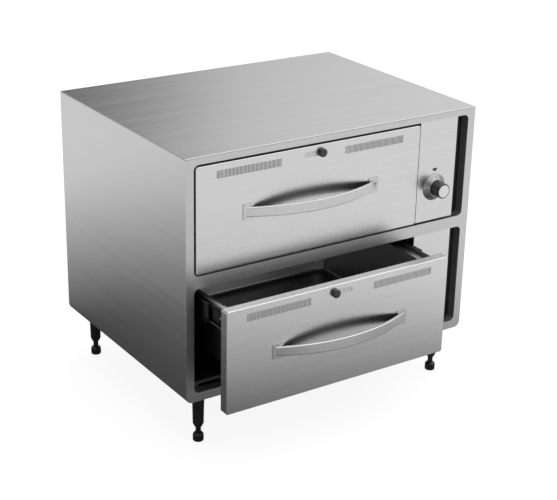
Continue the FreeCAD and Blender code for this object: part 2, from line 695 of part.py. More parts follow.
def knob(tier):
    """A fluted grip with a shallow seat for its bright face."""
    z = tier.knob_z
    length = KNOB_BACK - KNOB_END
    grip = Part.makeCone(GRIP_R, GRIP_TIP_R, length, Vector(KNOB_X, KNOB_BACK, z), -Y_AXIS)
    grip = grip.makeFillet(GRIP_EDGE_R, rim_edges(grip, Y_AXIS, KNOB_END))
    seat = rod(INSERT_R, INSERT_T, KNOB_X, KNOB_END + INSERT_T, z, -Y_AXIS)
    bore = rod(SHAFT_R + RUNNING, length - SHAFT_END_FACE, KNOB_X, KNOB_BACK, z, -Y_AXIS)
    flutes = []
    for turn in range(FLUTES):
        arm = FreeCAD.Rotation(Y_AXIS, 360 / FLUTES * turn).multVec(X_AXIS * (GRIP_R + FLUTE_OUT))
        flutes.append(rod(FLUTE_R, length, KNOB_X + arm.x, KNOB_BACK, z + arm.z, -Y_AXIS))
    return grip.cut(Part.makeCompound([seat, bore] + flutes))


def knob_insert(tier):
    disc = rod(INSERT_R, INSERT_T, KNOB_X, KNOB_END + INSERT_T, tier.knob_z, -Y_AXIS)
    return disc.makeFillet(INSERT_EDGE_R, rim_edges(disc, Y_AXIS, KNOB_END))


def knob_shaft(tier):
    end = KNOB_END + SHAFT_END_FACE
    return rod(SHAFT_R, FRONT + SHEET + SHAFT_IN - end, KNOB_X, end, tier.knob_z, Y_AXIS)


# ---- electrics
def cord_gland():
    """A bush through the back panel for the supply cord, with its nut inside."""
    y = BACK
    z = BASE + GLAND_Z
    dome = rod(GLAND_R, GLAND_OUT, GLAND_X, y, z, Y_AXIS)
    dome = dome.makeFillet(GLAND_EDGE_R, rim_edges(dome, Y_AXIS, y + GLAND_OUT))
    neck = rod(GLAND_NECK_R, SHEET + GLAND_IN, GLAND_X, y - SHEET - GLAND_IN, z, Y_AXIS)
    nut = hexagon_nut(2 * GLAND_R, GLAND_NUT_T, GLAND_NECK_R, GLAND_X, y - SHEET, z, -Y_AXIS)
    bore = rod(CORD_BORE_R, GLAND_OUT + SHEET + GLAND_IN, GLAND_X, y - SHEET - GLAND_IN, z, Y_AXIS)
    return join([dome, neck, nut]).cut(bore)


def terminal_block():
    """A stepped block with a row of clamp holes, on the base pan."""
    x0 = CONTROL_X - BLOCK_W / 2
    top = BASE_TOP + BLOCK_H
    body = box(x0, x0 + BLOCK_W, BLOCK_Y, BLOCK_Y + BLOCK_D, BASE_TOP, top)
    cuts = [box(x0, x0 + BLOCK_W, BLOCK_Y, BLOCK_Y + BLOCK_STEP_D, top - BLOCK_STEP_H, top)]
    pitch = BLOCK_W / BLOCK_POLES
    for pole in range(BLOCK_POLES):
        cuts.append(rod(POLE_R, POLE_D, x0 + pitch * (pole + 0.5), BLOCK_Y + POLE_Y, top - POLE_D, Z_AXIS))
    return body.cut(Part.makeCompound(cuts))


def wiring():
    """One lead from the terminal block to the back of each thermostat."""
    made = []
    for tier in TIERS:
        x = KNOB_X + WIRE_X_OFF[tier.name]
        y = BLOCK_Y + WIRE_Y
        z = tier.knob_z - WIRE_DROP
        route = [
            Vector(x, y, BASE_TOP + BLOCK_H),
            Vector(x, y, z),
            Vector(x, THERMOSTAT_BACK, z),
        ]
        made.append(bent_tube(route, WIRE_BEND, WIRE_R))
    return made


# ---- legs and feet
def legs():
    """Tapered legs, each on a plate under the cabinet, with a stud up through it."""
    made = []
    for x, y in LEG_XY:
        plate = rod(LEG_PLATE_R, LEG_PLATE_T, x, y, BASE - LEG_PLATE_T, Z_AXIS)
        body_h = BASE - LEG_PLATE_T - LEG_CLEAR - LEG_TAPER_H
        body = Part.makeCone(LEG_LOW_R, LEG_TOP_R, body_h, Vector(x, y, LEG_CLEAR + LEG_TAPER_H))
        nose = Part.makeCone(LEG_END_R, LEG_LOW_R, LEG_TAPER_H, Vector(x, y, LEG_CLEAR))
        stud = rod(STUD_R, STUD_H, x, y, BASE, Z_AXIS)
        bore = rod(FOOT_NECK_R + RUNNING, FOOT_STEM_IN + FOOT_BORE_SPARE, x, y, LEG_CLEAR, Z_AXIS)
        made.append(join([plate, body, nose, stud]).cut(bore))
    return made


def leg_nuts():
    made = []
    for x, y in LEG_XY:
        made.append(hexagon_nut(STUD_NUT_AF, STUD_NUT_T, STUD_R, x, y, BASE_TOP, Z_AXIS))
    return made


def foot(x, y):
    """A levelling foot: a round-shouldered pad on a stem that screws into the leg."""
    pad = rod(FOOT_R, FOOT_H, x, y, 0, Z_AXIS)
    pad = pad.makeFillet(FOOT_SHOULDER_R, rim_edges(pad, Z_AXIS, FOOT_H))
    pad = pad.makeFillet(FOOT_EDGE_R, rim_edges(pad, Z_AXIS, 0))
    stem = rod(FOOT_NECK_R, LEG_CLEAR - FOOT_H + FOOT_STEM_IN, x, y, FOOT_H, Z_AXIS)
    return join([pad, stem])


# ---- slides
def channel(x_web, x_lip, width, half, z):
    """A steel channel along Y with its web at x_web and its lips reaching to x_lip."""
    low = min(x_web, x_lip)
    high = max(x_web, x_lip)
    web_end = x_web + (width if x_lip > x_web else -width)
    y0 = SLIDE_Y0
    y1 = SLIDE_Y0 + SLIDE_L
    web = box(min(x_web, web_end), max(x_web, web_end), y0, y1, z - half, z + half)
    upper = box(low, high, y0, y1, z + half - width, z + half)
    lower = box(low, high, y0, y1, z - half, z - half + width)
    return join([web, upper, lower])


def outer_slide(tier):
    x = CAVITY_X0
    return channel(x, x + CHANNEL_LIP, SLIDE_SHEET, OUTER_H / 2, tier.rail_z)


def inner_slide(tier):
    x = CAVITY_X0 + SLIDE_T
    return channel(x, x - CHANNEL_LIP + SLIDE_SHEET, SLIDE_SHEET, INNER_H / 2, tier.rail_z)


def middle_slide(tier):
    """An I-shaped channel that carries the ball races for its two neighbours."""
    z = tier.rail_z
    half = MIDDLE_H / 2
    y0 = SLIDE_Y0
    y1 = SLIDE_Y0 + SLIDE_L
    x_web = CAVITY_X0 + MIDDLE_WEB_T
    x_out = CAVITY_X0 + 2 * SLIDE_SHEET
    x_in = CAVITY_X0 + SLIDE_T - 2 * SLIDE_SHEET
    parts = [box(x_web, x_web + SLIDE_SHEET, y0, y1, z - half, z + half)]
    for side in (-1, 1):
        lip = sorted((z + side * half, z + side * (half - SLIDE_SHEET)))
        parts.append(box(x_out, x_in, y0, y1, lip[0], lip[1]))
        race_out = sorted((z + side * half, z + side * (OUTER_H / 2 - SLIDE_SHEET)))
        parts.append(box(x_out, x_out + RACE_W, y0, y1, race_out[0], race_out[1]))
        race_in = sorted((z + side * (half - SLIDE_SHEET), z + side * INNER_H / 2))
        parts.append(box(x_in - RACE_W, x_in, y0, y1, race_in[0], race_in[1]))
    return join(parts)


def pair(shape):
    """A left-hand piece and its mirror image at the right of the drawer."""
    return [shape, mirrored(shape, DRAWER_X)]


# ---- drawers, drawn shut
def vent_slots(z, y0, y1, shift, height):
    """The upright slots of both vents, through a sheet from y0 to y1."""
    count = int(VENT_L / VENT_PITCH)
    first = -(count - 1) * VENT_PITCH / 2
    cuts = []
    for side in (-1, 1):
        for n in range(count):
            x = DRAWER_X + side * VENT_OFFSET + first + VENT_PITCH * n + shift
            cuts.append(box(x - VENT_SLOT_W / 2, x + VENT_SLOT_W / 2, y0, y1,
                            z - height / 2, z + height / 2))
    return cuts


def handle_screw_places(tier):
    """Two screws in each end of the handle."""
    out = HANDLE_L / 2 - HANDLE_PAD_W / 2
    rise = HANDLE_PAD_H / 2 - HANDLE_SCREW_IN
    return [(DRAWER_X + sx * out, tier.handle_z + sz * rise) for sx in (-1, 1) for sz in (-1, 1)]


def drawer_front(tier):
    """A folded tray, open at the back, with the vents and the slider's slot in its face."""
    block = box(DRAWER_X0, DRAWER_X1, FRONT, FRONT + FRONT_T, tier.front_z0, tier.front_z1)
    block = block.makeFillet(DRAWER_R, straight_edges(block, Y_AXIS))
    block = block.makeFillet(FACE_R, rim_edges(block, Y_AXIS, FRONT))
    hollow = box(DRAWER_X0 + SHEET, DRAWER_X1 - SHEET, FRONT + SHEET, FRONT + FRONT_T,
                 tier.front_z0 + SHEET, tier.front_z1 - SHEET)
    hollow = hollow.makeFillet(DRAWER_R - SHEET, straight_edges(hollow, Y_AXIS))
    half = SHUTTER_TRAVEL / 2 + SLIDER_STEM_R + SLIDER_SLOT_CLEAR
    slider_slot = round_box(DRAWER_X - half, DRAWER_X + half, FRONT, FRONT + SHEET,
                            tier.slider_z - SLIDER_SLOT_H / 2, tier.slider_z + SLIDER_SLOT_H / 2,
                            SLIDER_SLOT_R, Y_AXIS)
    cuts = vent_slots(tier.vent_z, FRONT, FRONT + SHEET, 0.0, VENT_H)
    for x, z in handle_screw_places(tier):
        cuts.append(rod(SCREW_R + CLEARANCE, SHEET, x, FRONT, z, Y_AXIS))
    front = block.cut(Part.makeCompound([hollow, slider_slot] + cuts))
    return join([front] + shutter_guides(tier))


def shutter_guides(tier):
    """Bent clips on the back of the face that keep the shutter against it."""
    guides = []
    y0 = FRONT + SHEET
    z0, z1 = shutter_span(tier)
    plate = SHUTTER_T + CLEARANCE
    for x in (DRAWER_X - VENT_OFFSET, DRAWER_X + VENT_OFFSET):
        for z, side in ((z0 - CLEARANCE, -1), (z1 + CLEARANCE, 1)):
            stand = sorted((z, z + side * SHEET))
            hook = sorted((z + side * SHEET, z - side * GUIDE_LAP))
            x0 = x - GUIDE_W / 2
            x1 = x + GUIDE_W / 2
            guides.append(box(x0, x1, y0, y0 + plate, stand[0], stand[1]))
            guides.append(box(x0, x1, y0 + plate, y0 + plate + SHEET, hook[0], hook[1]))
    return guides


def shutter_span(tier):
    return (tier.vent_z - VENT_H / 2 - SHUTTER_MARGIN, tier.vent_z + VENT_H / 2 + SHUTTER_MARGIN)


def front_liner(tier):
    """Inner sheet of the drawer front, with low air holes behind the vents."""
    sheet = box(DRAWER_X0, DRAWER_X1, FRONT + FRONT_T, CAVITY_Y0, tier.front_z0, tier.front_z1)
    sheet = sheet.makeFillet(DRAWER_R, straight_edges(sheet, Y_AXIS))
    z = tier.front_z1 - CHAMBER_DROP + AIR_HOLE_RISE
    cuts = []
    for side in (-1, 1):
        x = DRAWER_X + side * VENT_OFFSET
        cuts.append(box(x - VENT_L / 2, x + VENT_L / 2, FRONT + FRONT_T, CAVITY_Y0, z, z + AIR_HOLE_H))
    return sheet.cut(Part.makeCompound(cuts))


def front_insulation(tier):
    slab = box(DRAWER_X0 + SHEET, DRAWER_X1 - SHEET, FRONT + SHEET, FRONT + FRONT_T,
               tier.front_z0 + SHEET, tier.front_z1 - CHAMBER_DROP)
    low = [e for e in straight_edges(slab, Y_AXIS) if e.BoundBox.ZMax < tier.handle_z]
    slab = slab.makeFillet(DRAWER_R - SHEET, low)
    pockets = [rod(SCREW_HEAD_R + SPARE, SCREW_HEAD_T + SPARE, x, FRONT + SHEET, z, Y_AXIS)
               for x, z in handle_screw_places(tier)]
    return slab.cut(Part.makeCompound(pockets))


def shutter(tier):
    """A slotted plate behind the vents. Its slots meet those of the face when the slider is right."""
    z0, z1 = shutter_span(tier)
    y0 = FRONT + SHEET
    plate = box(DRAWER_X - SHUTTER_L, DRAWER_X + SHUTTER_L, y0, y0 + SHUTTER_T, z0, z1)
    shift = -SHUTTER_TRAVEL / 2 % VENT_PITCH
    slots = vent_slots(tier.vent_z, y0, y0 + SHUTTER_T, shift, VENT_H)
    return plate.cut(Part.makeCompound(slots))


def slider(tier):
    """Black knob on a stem that reaches the shutter through the slot."""
    stem = rod(SLIDER_STEM_R, SHEET + CLEARANCE * 2, DRAWER_X, FRONT + SHEET, tier.slider_z, -Y_AXIS)
    y = FRONT - CLEARANCE * 2
    head = rod(SLIDER_R, SLIDER_H, DRAWER_X, y, tier.slider_z, -Y_AXIS)
    head = head.makeFillet(SLIDER_EDGE_R, rim_edges(head, Y_AXIS, y - SLIDER_H))
    return join([stem, head])


def handle(tier):
    """A bow of polished bar, deepest and tallest in the middle, on two screw pads."""
    z = tier.handle_z
    y_pad = FRONT - HANDLE_PAD_T
    reach = FRONT - HANDLE_REACH
    outer_x = HANDLE_L / 2 - HANDLE_PAD_END
    inner_x = outer_x - HANDLE_ROOT_L
    outer = Part.Arc(Vector(DRAWER_X - outer_x, y_pad, z), Vector(DRAWER_X, reach, z),
                     Vector(DRAWER_X + outer_x, y_pad, z)).toShape()
    close_r = Part.makeLine(Vector(DRAWER_X + outer_x, y_pad, z), Vector(DRAWER_X + inner_x, y_pad, z))
    inner = Part.Arc(Vector(DRAWER_X + inner_x, y_pad, z), Vector(DRAWER_X, reach + HANDLE_BAR, z),
                     Vector(DRAWER_X - inner_x, y_pad, z)).toShape()
    close_l = Part.makeLine(Vector(DRAWER_X - inner_x, y_pad, z), Vector(DRAWER_X - outer_x, y_pad, z))
    crescent = Part.Face(Part.Wire([outer, close_r, inner, close_l]))
    crescent.translate(Vector(0, 0, -HANDLE_MID_H))
    bar = crescent.extrude(Vector(0, 0, 2 * HANDLE_MID_H))
    lens = lens_block(z, reach - SPARE, y_pad + SPARE)
    bar = bar.common(lens)
    long_edges = [e for e in bar.Edges if e.BoundBox.XLength > inner_x]
    bar = bar.makeFillet(HANDLE_EDGE_R, long_edges)
    pads = []
    for side in (-1, 1):
        x = DRAWER_X + side * (HANDLE_L / 2 - HANDLE_PAD_W / 2)
        pad = round_box(x - HANDLE_PAD_W / 2, x + HANDLE_PAD_W / 2, y_pad, FRONT,
                        z - HANDLE_PAD_H / 2, z + HANDLE_PAD_H / 2, HANDLE_PAD_R, Y_AXIS)
        pads.append(pad)
    whole = join([bar] + pads)
    tap_l = HANDLE_PAD_T - HANDLE_TAP_FACE
    taps = [rod(SCREW_R, tap_l, x, FRONT, tap_z, -Y_AXIS) for x, tap_z in handle_screw_places(tier)]
    return whole.cut(Part.makeCompound(taps))


def lens_block(z, y0, y1):
    """A long block that is tallest in its middle, to shape the handle's upper and lower edges."""
    x = HANDLE_L / 2
    mid = HANDLE_MID_H / 2
    end = HANDLE_END_H / 2
    top = Part.Arc(Vector(DRAWER_X - x, y0, z + end), Vector(DRAWER_X, y0, z + mid),
                   Vector(DRAWER_X + x, y0, z + end)).toShape()
    right = Part.makeLine(Vector(DRAWER_X + x, y0, z + end), Vector(DRAWER_X + x, y0, z - end))
    low = Part.Arc(Vector(DRAWER_X + x, y0, z - end), Vector(DRAWER_X, y0, z - mid),
                   Vector(DRAWER_X - x, y0, z - end)).toShape()
    left = Part.makeLine(Vector(DRAWER_X - x, y0, z - end), Vector(DRAWER_X - x, y0, z + end))
    return Part.Face(Part.Wire([top, right, low, left])).extrude(Vector(0, y1 - y0, 0))


def handle_screws(tier):
    made = []
    shank_l = SHEET + HANDLE_PAD_T - HANDLE_TAP_FACE - HANDLE_TAP_SPARE
    for x, z in handle_screw_places(tier):
        head = rod(SCREW_HEAD_R, SCREW_HEAD_T, x, FRONT + SHEET, z, Y_AXIS)
        shank = rod(SCREW_R - RUNNING, shank_l, x, FRONT + SHEET, z, -Y_AXIS)
        made.append(join([head, shank]))
    return made


def pan_frame(tier):
    """A steel frame between the slides, with the ledge that the pan's rim hangs on."""
    z1 = tier.bottom + PAN_FRAME_TOP
    z0 = z1 - PAN_FRAME_H
    y0 = CAVITY_Y0
    y1 = y0 + PAN_FRAME_D
    t = PAN_FRAME_T
    outer = box(RAIL_X0, RAIL_X1, y0, y1, z0, z1)
    inner = box(RAIL_X0 + t, RAIL_X1 - t, y0 + t, y1 - t, z0, z1)
    ledge = box(RAIL_X0 + t, RAIL_X1 - t, y0 + t, y1 - t, tier.ledge_z - t, tier.ledge_z)
    mouth = box(RAIL_X0 + t + PAN_LEDGE, RAIL_X1 - t - PAN_LEDGE, y0 + t + PAN_LEDGE,
                y1 - t - PAN_LEDGE, tier.ledge_z - t, tier.ledge_z)
    return join([outer.cut(inner), ledge.cut(mouth)])


def round_outline(half_w, half_d, radius, x, y, z):
    """A closed rounded rectangle in a level plane."""
    corners = [(1, 1), (-1, 1), (-1, -1), (1, -1)]
    edges = []
    ends = []
    for n, (sx, sy) in enumerate(corners):
        cx = x + sx * (half_w - radius)
        cy = y + sy * (half_d - radius)
        arc = Part.makeCircle(radius, Vector(cx, cy, z), Z_AXIS, 90 * n, 90 * (n + 1))
        edges.append(arc)
        ends.append((arc.firstVertex().Point, arc.lastVertex().Point))
    wire = []
    for n in range(4):
        wire.append(edges[n])
        wire.append(Part.makeLine(ends[n][1], ends[(n + 1) % 4][0]))
    return Part.Wire(wire)


def food_pan(tier):
    """A deep drawn pan with leaning walls, round corners and a flat rim."""
    x = DRAWER_X
    y = PAN_Y0 + PAN_BODY_D / 2
    rim_z = tier.ledge_z + PAN_T
    half_w = PAN_BODY_W / 2 - PAN_CLEAR
    half_d = PAN_BODY_D / 2 - PAN_CLEAR
    outer = pan_body(x, y, rim_z, half_w, half_d, PAN_CORNER_R, PAN_DEPTH, PAN_FLOOR_R)
    inner = pan_body(x, y, rim_z + SPARE, half_w - PAN_T, half_d - PAN_T, PAN_CORNER_R - PAN_T,
                     PAN_DEPTH - PAN_T + SPARE, PAN_FLOOR_R - PAN_T)
    rim = round_box(x - PAN_RIM_W / 2, x + PAN_RIM_W / 2, y - PAN_RIM_D / 2, y + PAN_RIM_D / 2,
                    tier.ledge_z, rim_z, PAN_RIM_R, Z_AXIS)
    return join([outer, rim]).cut(inner)


def pan_body(x, y, z_top, half_w, half_d, corner_r, depth, floor_r):
    top = round_outline(half_w, half_d, corner_r, x, y, z_top)
    low = round_outline(half_w - PAN_DRAFT, half_d - PAN_DRAFT, corner_r - PAN_DRAFT / 2, x, y,
                        z_top - depth)
    body = Part.makeLoft([low, top], True, True)
    return body.makeFillet(floor_r, rim_edges(body, Z_AXIS, z_top - depth))


def moved(shapes, tier, part_of_travel=1.0, sideways=0.0):
    """Copies of shapes drawn shut, where the drawer stands at rest."""
    placed = []
    for shape in shapes:
        copy = shape.copy()
        copy.translate(Vector(sideways, -tier.opened * part_of_travel, 0))
        placed.append(copy)
    return placed


def main():
    os.makedirs("parts", exist_ok=True)
    left_side = side_panel_left()
    save("left_side_panel", [left_side])
    save("right_side_panel", [mirrored(left_side, 0)])
    save("top_panel", [top_panel()])
    save("front_frame", [front_frame()])
    save("back_panel", [back_panel()])
    save("base_pan", [base_pan()])
    save("divider_wall", [divider_wall()])
    save("cabinet_fasteners", back_screws() + leg_nuts())
    save("cabinet_insulation", insulation())
    save("element_clips", element_clips())
    save("sensor_bulbs", sensors())
    save("vent_baffles", vent_baffles())
    save("cord_gland", [cord_gland()])
    save("terminal_block", [terminal_block()])
    save("wiring", wiring())
    save("legs", legs())
    save("cabinet_slides", [s for tier in TIERS for s in pair(outer_slide(tier))])
    for name, (x, y) in zip(LEG_NAMES, LEG_XY):
        save("foot_" + name, [foot(x, y)])
    for tier in TIERS:
        name = tier.name
        save(name + "_liner", [liner(tier)])
        save(name + "_heating_element", [heating_element(tier)])
        save(name + "_control_panel", [control_panel(tier)])
        save(name + "_thermostat", [thermostat(tier)])
        save(name + "_thermostat_shaft", [knob_shaft(tier)])
        save(name + "_dial_skirt", [dial_skirt(tier)])
        save(name + "_knob", [knob(tier)])
        save(name + "_knob_insert", [knob_insert(tier)])
        save(name + "_slide_middle", moved(pair(middle_slide(tier)), tier, 0.5))
        save(name + "_drawer_slides", moved(pair(inner_slide(tier)), tier))
        save(name + "_drawer_front", moved([drawer_front(tier)], tier))
        save(name + "_front_liner", moved([front_liner(tier)], tier))
        save(name + "_front_insulation", moved([front_insulation(tier)], tier))
        save(name + "_handle", moved([handle(tier)], tier))
        save(name + "_handle_screws", moved(handle_screws(tier), tier))
        save(name + "_pan_frame", moved([pan_frame(tier)], tier))
        save(name + "_food_pan", moved([food_pan(tier)], tier))
        save(name + "_vent_shutter", moved([shutter(tier)], tier, 1.0, tier.shutter))
        save(name + "_shutter_knob", moved([slider(tier)], tier, 1.0, tier.shutter))


main()
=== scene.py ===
import math

import bmesh
import bpy
from mathutils import Matrix, Vector


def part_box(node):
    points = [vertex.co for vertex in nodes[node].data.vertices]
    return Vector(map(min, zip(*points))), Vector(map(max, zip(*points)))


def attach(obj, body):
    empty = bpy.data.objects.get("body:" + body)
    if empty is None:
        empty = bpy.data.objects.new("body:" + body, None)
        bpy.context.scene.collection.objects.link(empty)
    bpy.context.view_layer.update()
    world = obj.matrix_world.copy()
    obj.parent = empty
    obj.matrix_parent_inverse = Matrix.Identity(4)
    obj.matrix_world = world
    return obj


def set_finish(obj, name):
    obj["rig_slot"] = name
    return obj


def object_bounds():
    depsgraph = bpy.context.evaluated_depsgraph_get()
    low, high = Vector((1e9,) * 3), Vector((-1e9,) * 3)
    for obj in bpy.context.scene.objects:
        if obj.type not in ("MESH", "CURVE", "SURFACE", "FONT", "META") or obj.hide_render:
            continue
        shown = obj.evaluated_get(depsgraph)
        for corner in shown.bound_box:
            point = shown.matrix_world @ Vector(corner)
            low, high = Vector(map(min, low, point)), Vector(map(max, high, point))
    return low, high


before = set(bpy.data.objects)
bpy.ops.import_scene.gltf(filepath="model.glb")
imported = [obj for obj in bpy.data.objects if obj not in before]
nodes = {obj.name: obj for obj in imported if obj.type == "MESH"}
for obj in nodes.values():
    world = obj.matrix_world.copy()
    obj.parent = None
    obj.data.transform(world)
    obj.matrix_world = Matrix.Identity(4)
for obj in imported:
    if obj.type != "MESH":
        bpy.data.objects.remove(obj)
cad_low, cad_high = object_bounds()

TIERS = ("lower", "upper")
MM = 0.001


# ---- camera
FRAME_W = 557.0          # pixels
FOCAL_PX = 1372.9
SENSOR_W = 36.0
CLIP_NEAR, CLIP_FAR = 0.05, 60.0
AZIMUTH = math.radians(-34.08)
ELEVATION = math.radians(22.28)
ROLL = math.radians(1.276)
AIM = Vector((0.0, 0.0, 0.33))
SIDE_STEP = -0.0074      # the camera's steps to the side and up, off the line through AIM
UP_STEP = -0.0110
DISTANCE = 3.1639


def make_camera():
    """A plain camera without shift, turned a little about its own line of sight."""
    back = Vector((math.sin(AZIMUTH) * math.cos(ELEVATION),
                   -math.cos(AZIMUTH) * math.cos(ELEVATION),
                   math.sin(ELEVATION)))
    side = Vector((math.cos(AZIMUTH), math.sin(AZIMUTH), 0.0))
    up = back.cross(side)
    data = bpy.data.cameras.new("camera")
    data.sensor_width = SENSOR_W
    data.lens = FOCAL_PX / FRAME_W * SENSOR_W
    data.clip_start = CLIP_NEAR
    data.clip_end = CLIP_FAR
    camera = bpy.data.objects.new("camera", data)
    bpy.context.scene.collection.objects.link(camera)
    turned_side = side * math.cos(ROLL) + up * math.sin(ROLL)
    turned_up = up * math.cos(ROLL) - side * math.sin(ROLL)
    turn = Matrix((turned_side, turned_up, back)).transposed()
    place = AIM + side * SIDE_STEP + up * UP_STEP + back * DISTANCE
    camera.matrix_world = Matrix.Translation(place) @ turn.to_4x4()
    bpy.context.scene.camera = camera


# ---- materials
def hue(code):
    """An sRGB hex colour as linear red, green, blue and alpha."""
    made = []
    for start in (1, 3, 5):
        part = int(code[start:start + 2], 16) / 255
        made.append(part / 12.92 if part <= 0.04045 else ((part + 0.055) / 1.055) ** 2.4)
    return (*made, 1.0)


def per_mm(*sizes):
    """The scale at which a pattern repeats at these sizes, in millimetres."""
    return tuple(1 / (size * MM) for size in sizes)


def add(tree, kind, inputs=None, **settings):
    """Adds a shader node, with its settings and with values or links on its inputs."""
    made = tree.nodes.new("ShaderNode" + kind)
    for name, value in settings.items():
        setattr(made, name, value)
    for name, value in (inputs or {}).items():
        if isinstance(value, bpy.types.NodeSocket):
            tree.links.new(value, made.inputs[name])
        else:
            made.inputs[name].default_value = value
    return made


def begin(name):
    """A new material, empty, and the place of each point of a piece."""
    material = bpy.data.materials.new(name)
    material.use_nodes = True
    tree = material.node_tree
    tree.nodes.clear()
    return material, tree, add(tree, "TexCoord").outputs["Object"]


def finish_metal(tree, colour, rough, normal):
    """Bare metal of this colour, roughness and relief, as the material's surface."""
    shader = add(tree, "BsdfPrincipled", {"Base Color": colour, "Metallic": 1.0,
                                          "Roughness": rough, "Normal": normal})
    add(tree, "OutputMaterial", {"Surface": shader.outputs["BSDF"]})


# A belt's scratches are 0.1 mm wide. They are drawn 0.7 mm wide, so that they show.
SCRATCH_L, SCRATCH_W = 180.0, 0.7
SCRATCH_DEPTH = 0.002 * MM
BELT_MARK_L, BELT_MARK_W = 600.0, 14.0
BELT_MARK_SHARE = 0.4    # of the sheet's change of tone; its scratches make the rest
BELT_GLOSS = 0.04        # how far the roughness goes, either way
NOISE_SPREAD = {"From Min": 0.3, "From Max": 0.7}    # most of a noise lies between these


def lengthwise(along, length, width):
    """The scale of a pattern that is drawn out along one axis."""
    return per_mm(*(length if axis == along else width for axis in "xyz"))


def brushed_sheet(name, dark, light, rough, along="x"):
    """Stainless sheet that a belt has brushed one way.

    Close by, its parallel scratches show. From further off they only soften what the sheet
    mirrors, and the belt's broad marks stay as faint bands.
    """
    material, tree, place = begin(name)
    fine = add(tree, "Mapping", {"Vector": place,
                                 "Scale": lengthwise(along, SCRATCH_L, SCRATCH_W)})
    scratch = add(tree, "TexNoise", {"Vector": fine.outputs[0], "Scale": 1.0, "Detail": 3.0,
                                     "Roughness": 0.6}).outputs["Fac"]
    broad = add(tree, "Mapping", {"Vector": place,
                                  "Scale": lengthwise(along, BELT_MARK_L, BELT_MARK_W)})
    mark = add(tree, "TexNoise", {"Vector": broad.outputs[0], "Scale": 1.0,
                                  "Detail": 2.0}).outputs["Fac"]
    worn = add(tree, "MapRange", {"Value": mark, **NOISE_SPREAD, "To Max": BELT_MARK_SHARE})
    cut = add(tree, "MapRange", {"Value": scratch, **NOISE_SPREAD, "To Max": 1 - BELT_MARK_SHARE})
    tone = add(tree, "Math", {0: worn.outputs[0], 1: cut.outputs[0]}, operation="ADD").outputs[0]
    colour = add(tree, "MixRGB", {"Fac": tone, "Color1": hue(dark), "Color2": hue(light)})
    satin = add(tree, "MapRange", {"Value": tone, "To Min": rough - BELT_GLOSS,
                                   "To Max": rough + BELT_GLOSS})
    ridge = add(tree, "Bump", {"Height": scratch, "Distance": SCRATCH_DEPTH})
    finish_metal(tree, colour.outputs[0], satin.outputs[0], ridge.outputs[0])
    return material


UNSHADED_R = 50.0 * MM     # from the knob's middle, without painted shade up to here
FULLY_SHADED_R = 60.0 * MM       # and fully darkened as painted shade from here


def rubbed_shutter(tier):
    """Sheet behind the vents, coloured darker away from its knob as painted shade in the vent
    slots, and left bright round the knob where the slider's slot shows.
    """
    material, tree, place = begin("rubbed stainless shutter of %s drawer" % tier)
    low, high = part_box(tier + "_shutter_knob")
    reach = add(tree, "VectorMath", {0: place, 1: (low + high) / 2}, operation="DISTANCE")
    painted_slot_shade = add(tree, "MapRange", {"Value": reach.outputs["Value"], "From Min": UNSHADED_R,
                                  "From Max": FULLY_SHADED_R}).outputs[0]
    fine = add(tree, "Mapping", {"Vector": place, "Scale": lengthwise("x", SCRATCH_L, SCRATCH_W)})
    scratch = add(tree, "TexNoise", {"Vector": fine.outputs[0], "Scale": 1.0,
                                     "Detail": 3.0}).outputs["Fac"]
    # painted shade: grey away from the knob, for the shade in the recessed vent slots
    colour = add(tree, "MixRGB", {"Fac": painted_slot_shade, "Color1": hue("#cacaca"), "Color2": hue("#7e7e7e")})
    satin = add(tree, "MapRange", {"Value": scratch, "To Min": 0.34, "To Max": 0.5})
    ridge = add(tree, "Bump", {"Height": scratch, "Distance": SCRATCH_DEPTH})
    finish_metal(tree, colour.outputs[0], satin.outputs[0], ridge.outputs[0])
    return material


CLOUDS = 0.04            # scale of the clouds of tone to that of the grain
GRAIN_GLOSS = 0.06       # how far the roughness goes, either way


def even_finish(name, dark, light, rough, metallic=0.0, ior=None, grain_mm=1.5, depth_mm=0.02):
    """A fine even grain under slow clouds of tone, for mouldings, plating, ink and cloth."""
    material, tree, place = begin(name)
    fine = add(tree, "Mapping", {"Vector": place, "Scale": per_mm(grain_mm, grain_mm, grain_mm)})
    grain = add(tree, "TexNoise", {"Vector": fine.outputs[0], "Scale": 1.0,
                                   "Detail": 3.0}).outputs["Fac"]
    cloud = add(tree, "TexNoise", {"Vector": fine.outputs[0], "Scale": CLOUDS,
                                   "Detail": 2.0}).outputs["Fac"]
    tone = add(tree, "MapRange", {"Value": cloud, **NOISE_SPREAD}).outputs[0]
    colour = add(tree, "MixRGB", {"Fac": tone, "Color1": hue(dark), "Color2": hue(light)})
    gloss = add(tree, "MapRange", {"Value": grain, **NOISE_SPREAD, "To Min": rough - GRAIN_GLOSS,
                                   "To Max": rough + GRAIN_GLOSS})
    pores = add(tree, "Bump", {"Height": grain, "Distance": depth_mm * MM})
    shader = add(tree, "BsdfPrincipled", {"Base Color": colour.outputs[0], "Metallic": metallic,
                                          "Roughness": gloss.outputs[0],
                                          "Normal": pores.outputs[0]})
    if ior:
        shader.inputs["IOR"].default_value = ior
    add(tree, "OutputMaterial", {"Surface": shader.outputs["BSDF"]})
    return material


CRYSTAL_MM = 9.0
PEEL_PER_CRYSTAL = 7.5
PEEL_DEPTH = 0.004 * MM


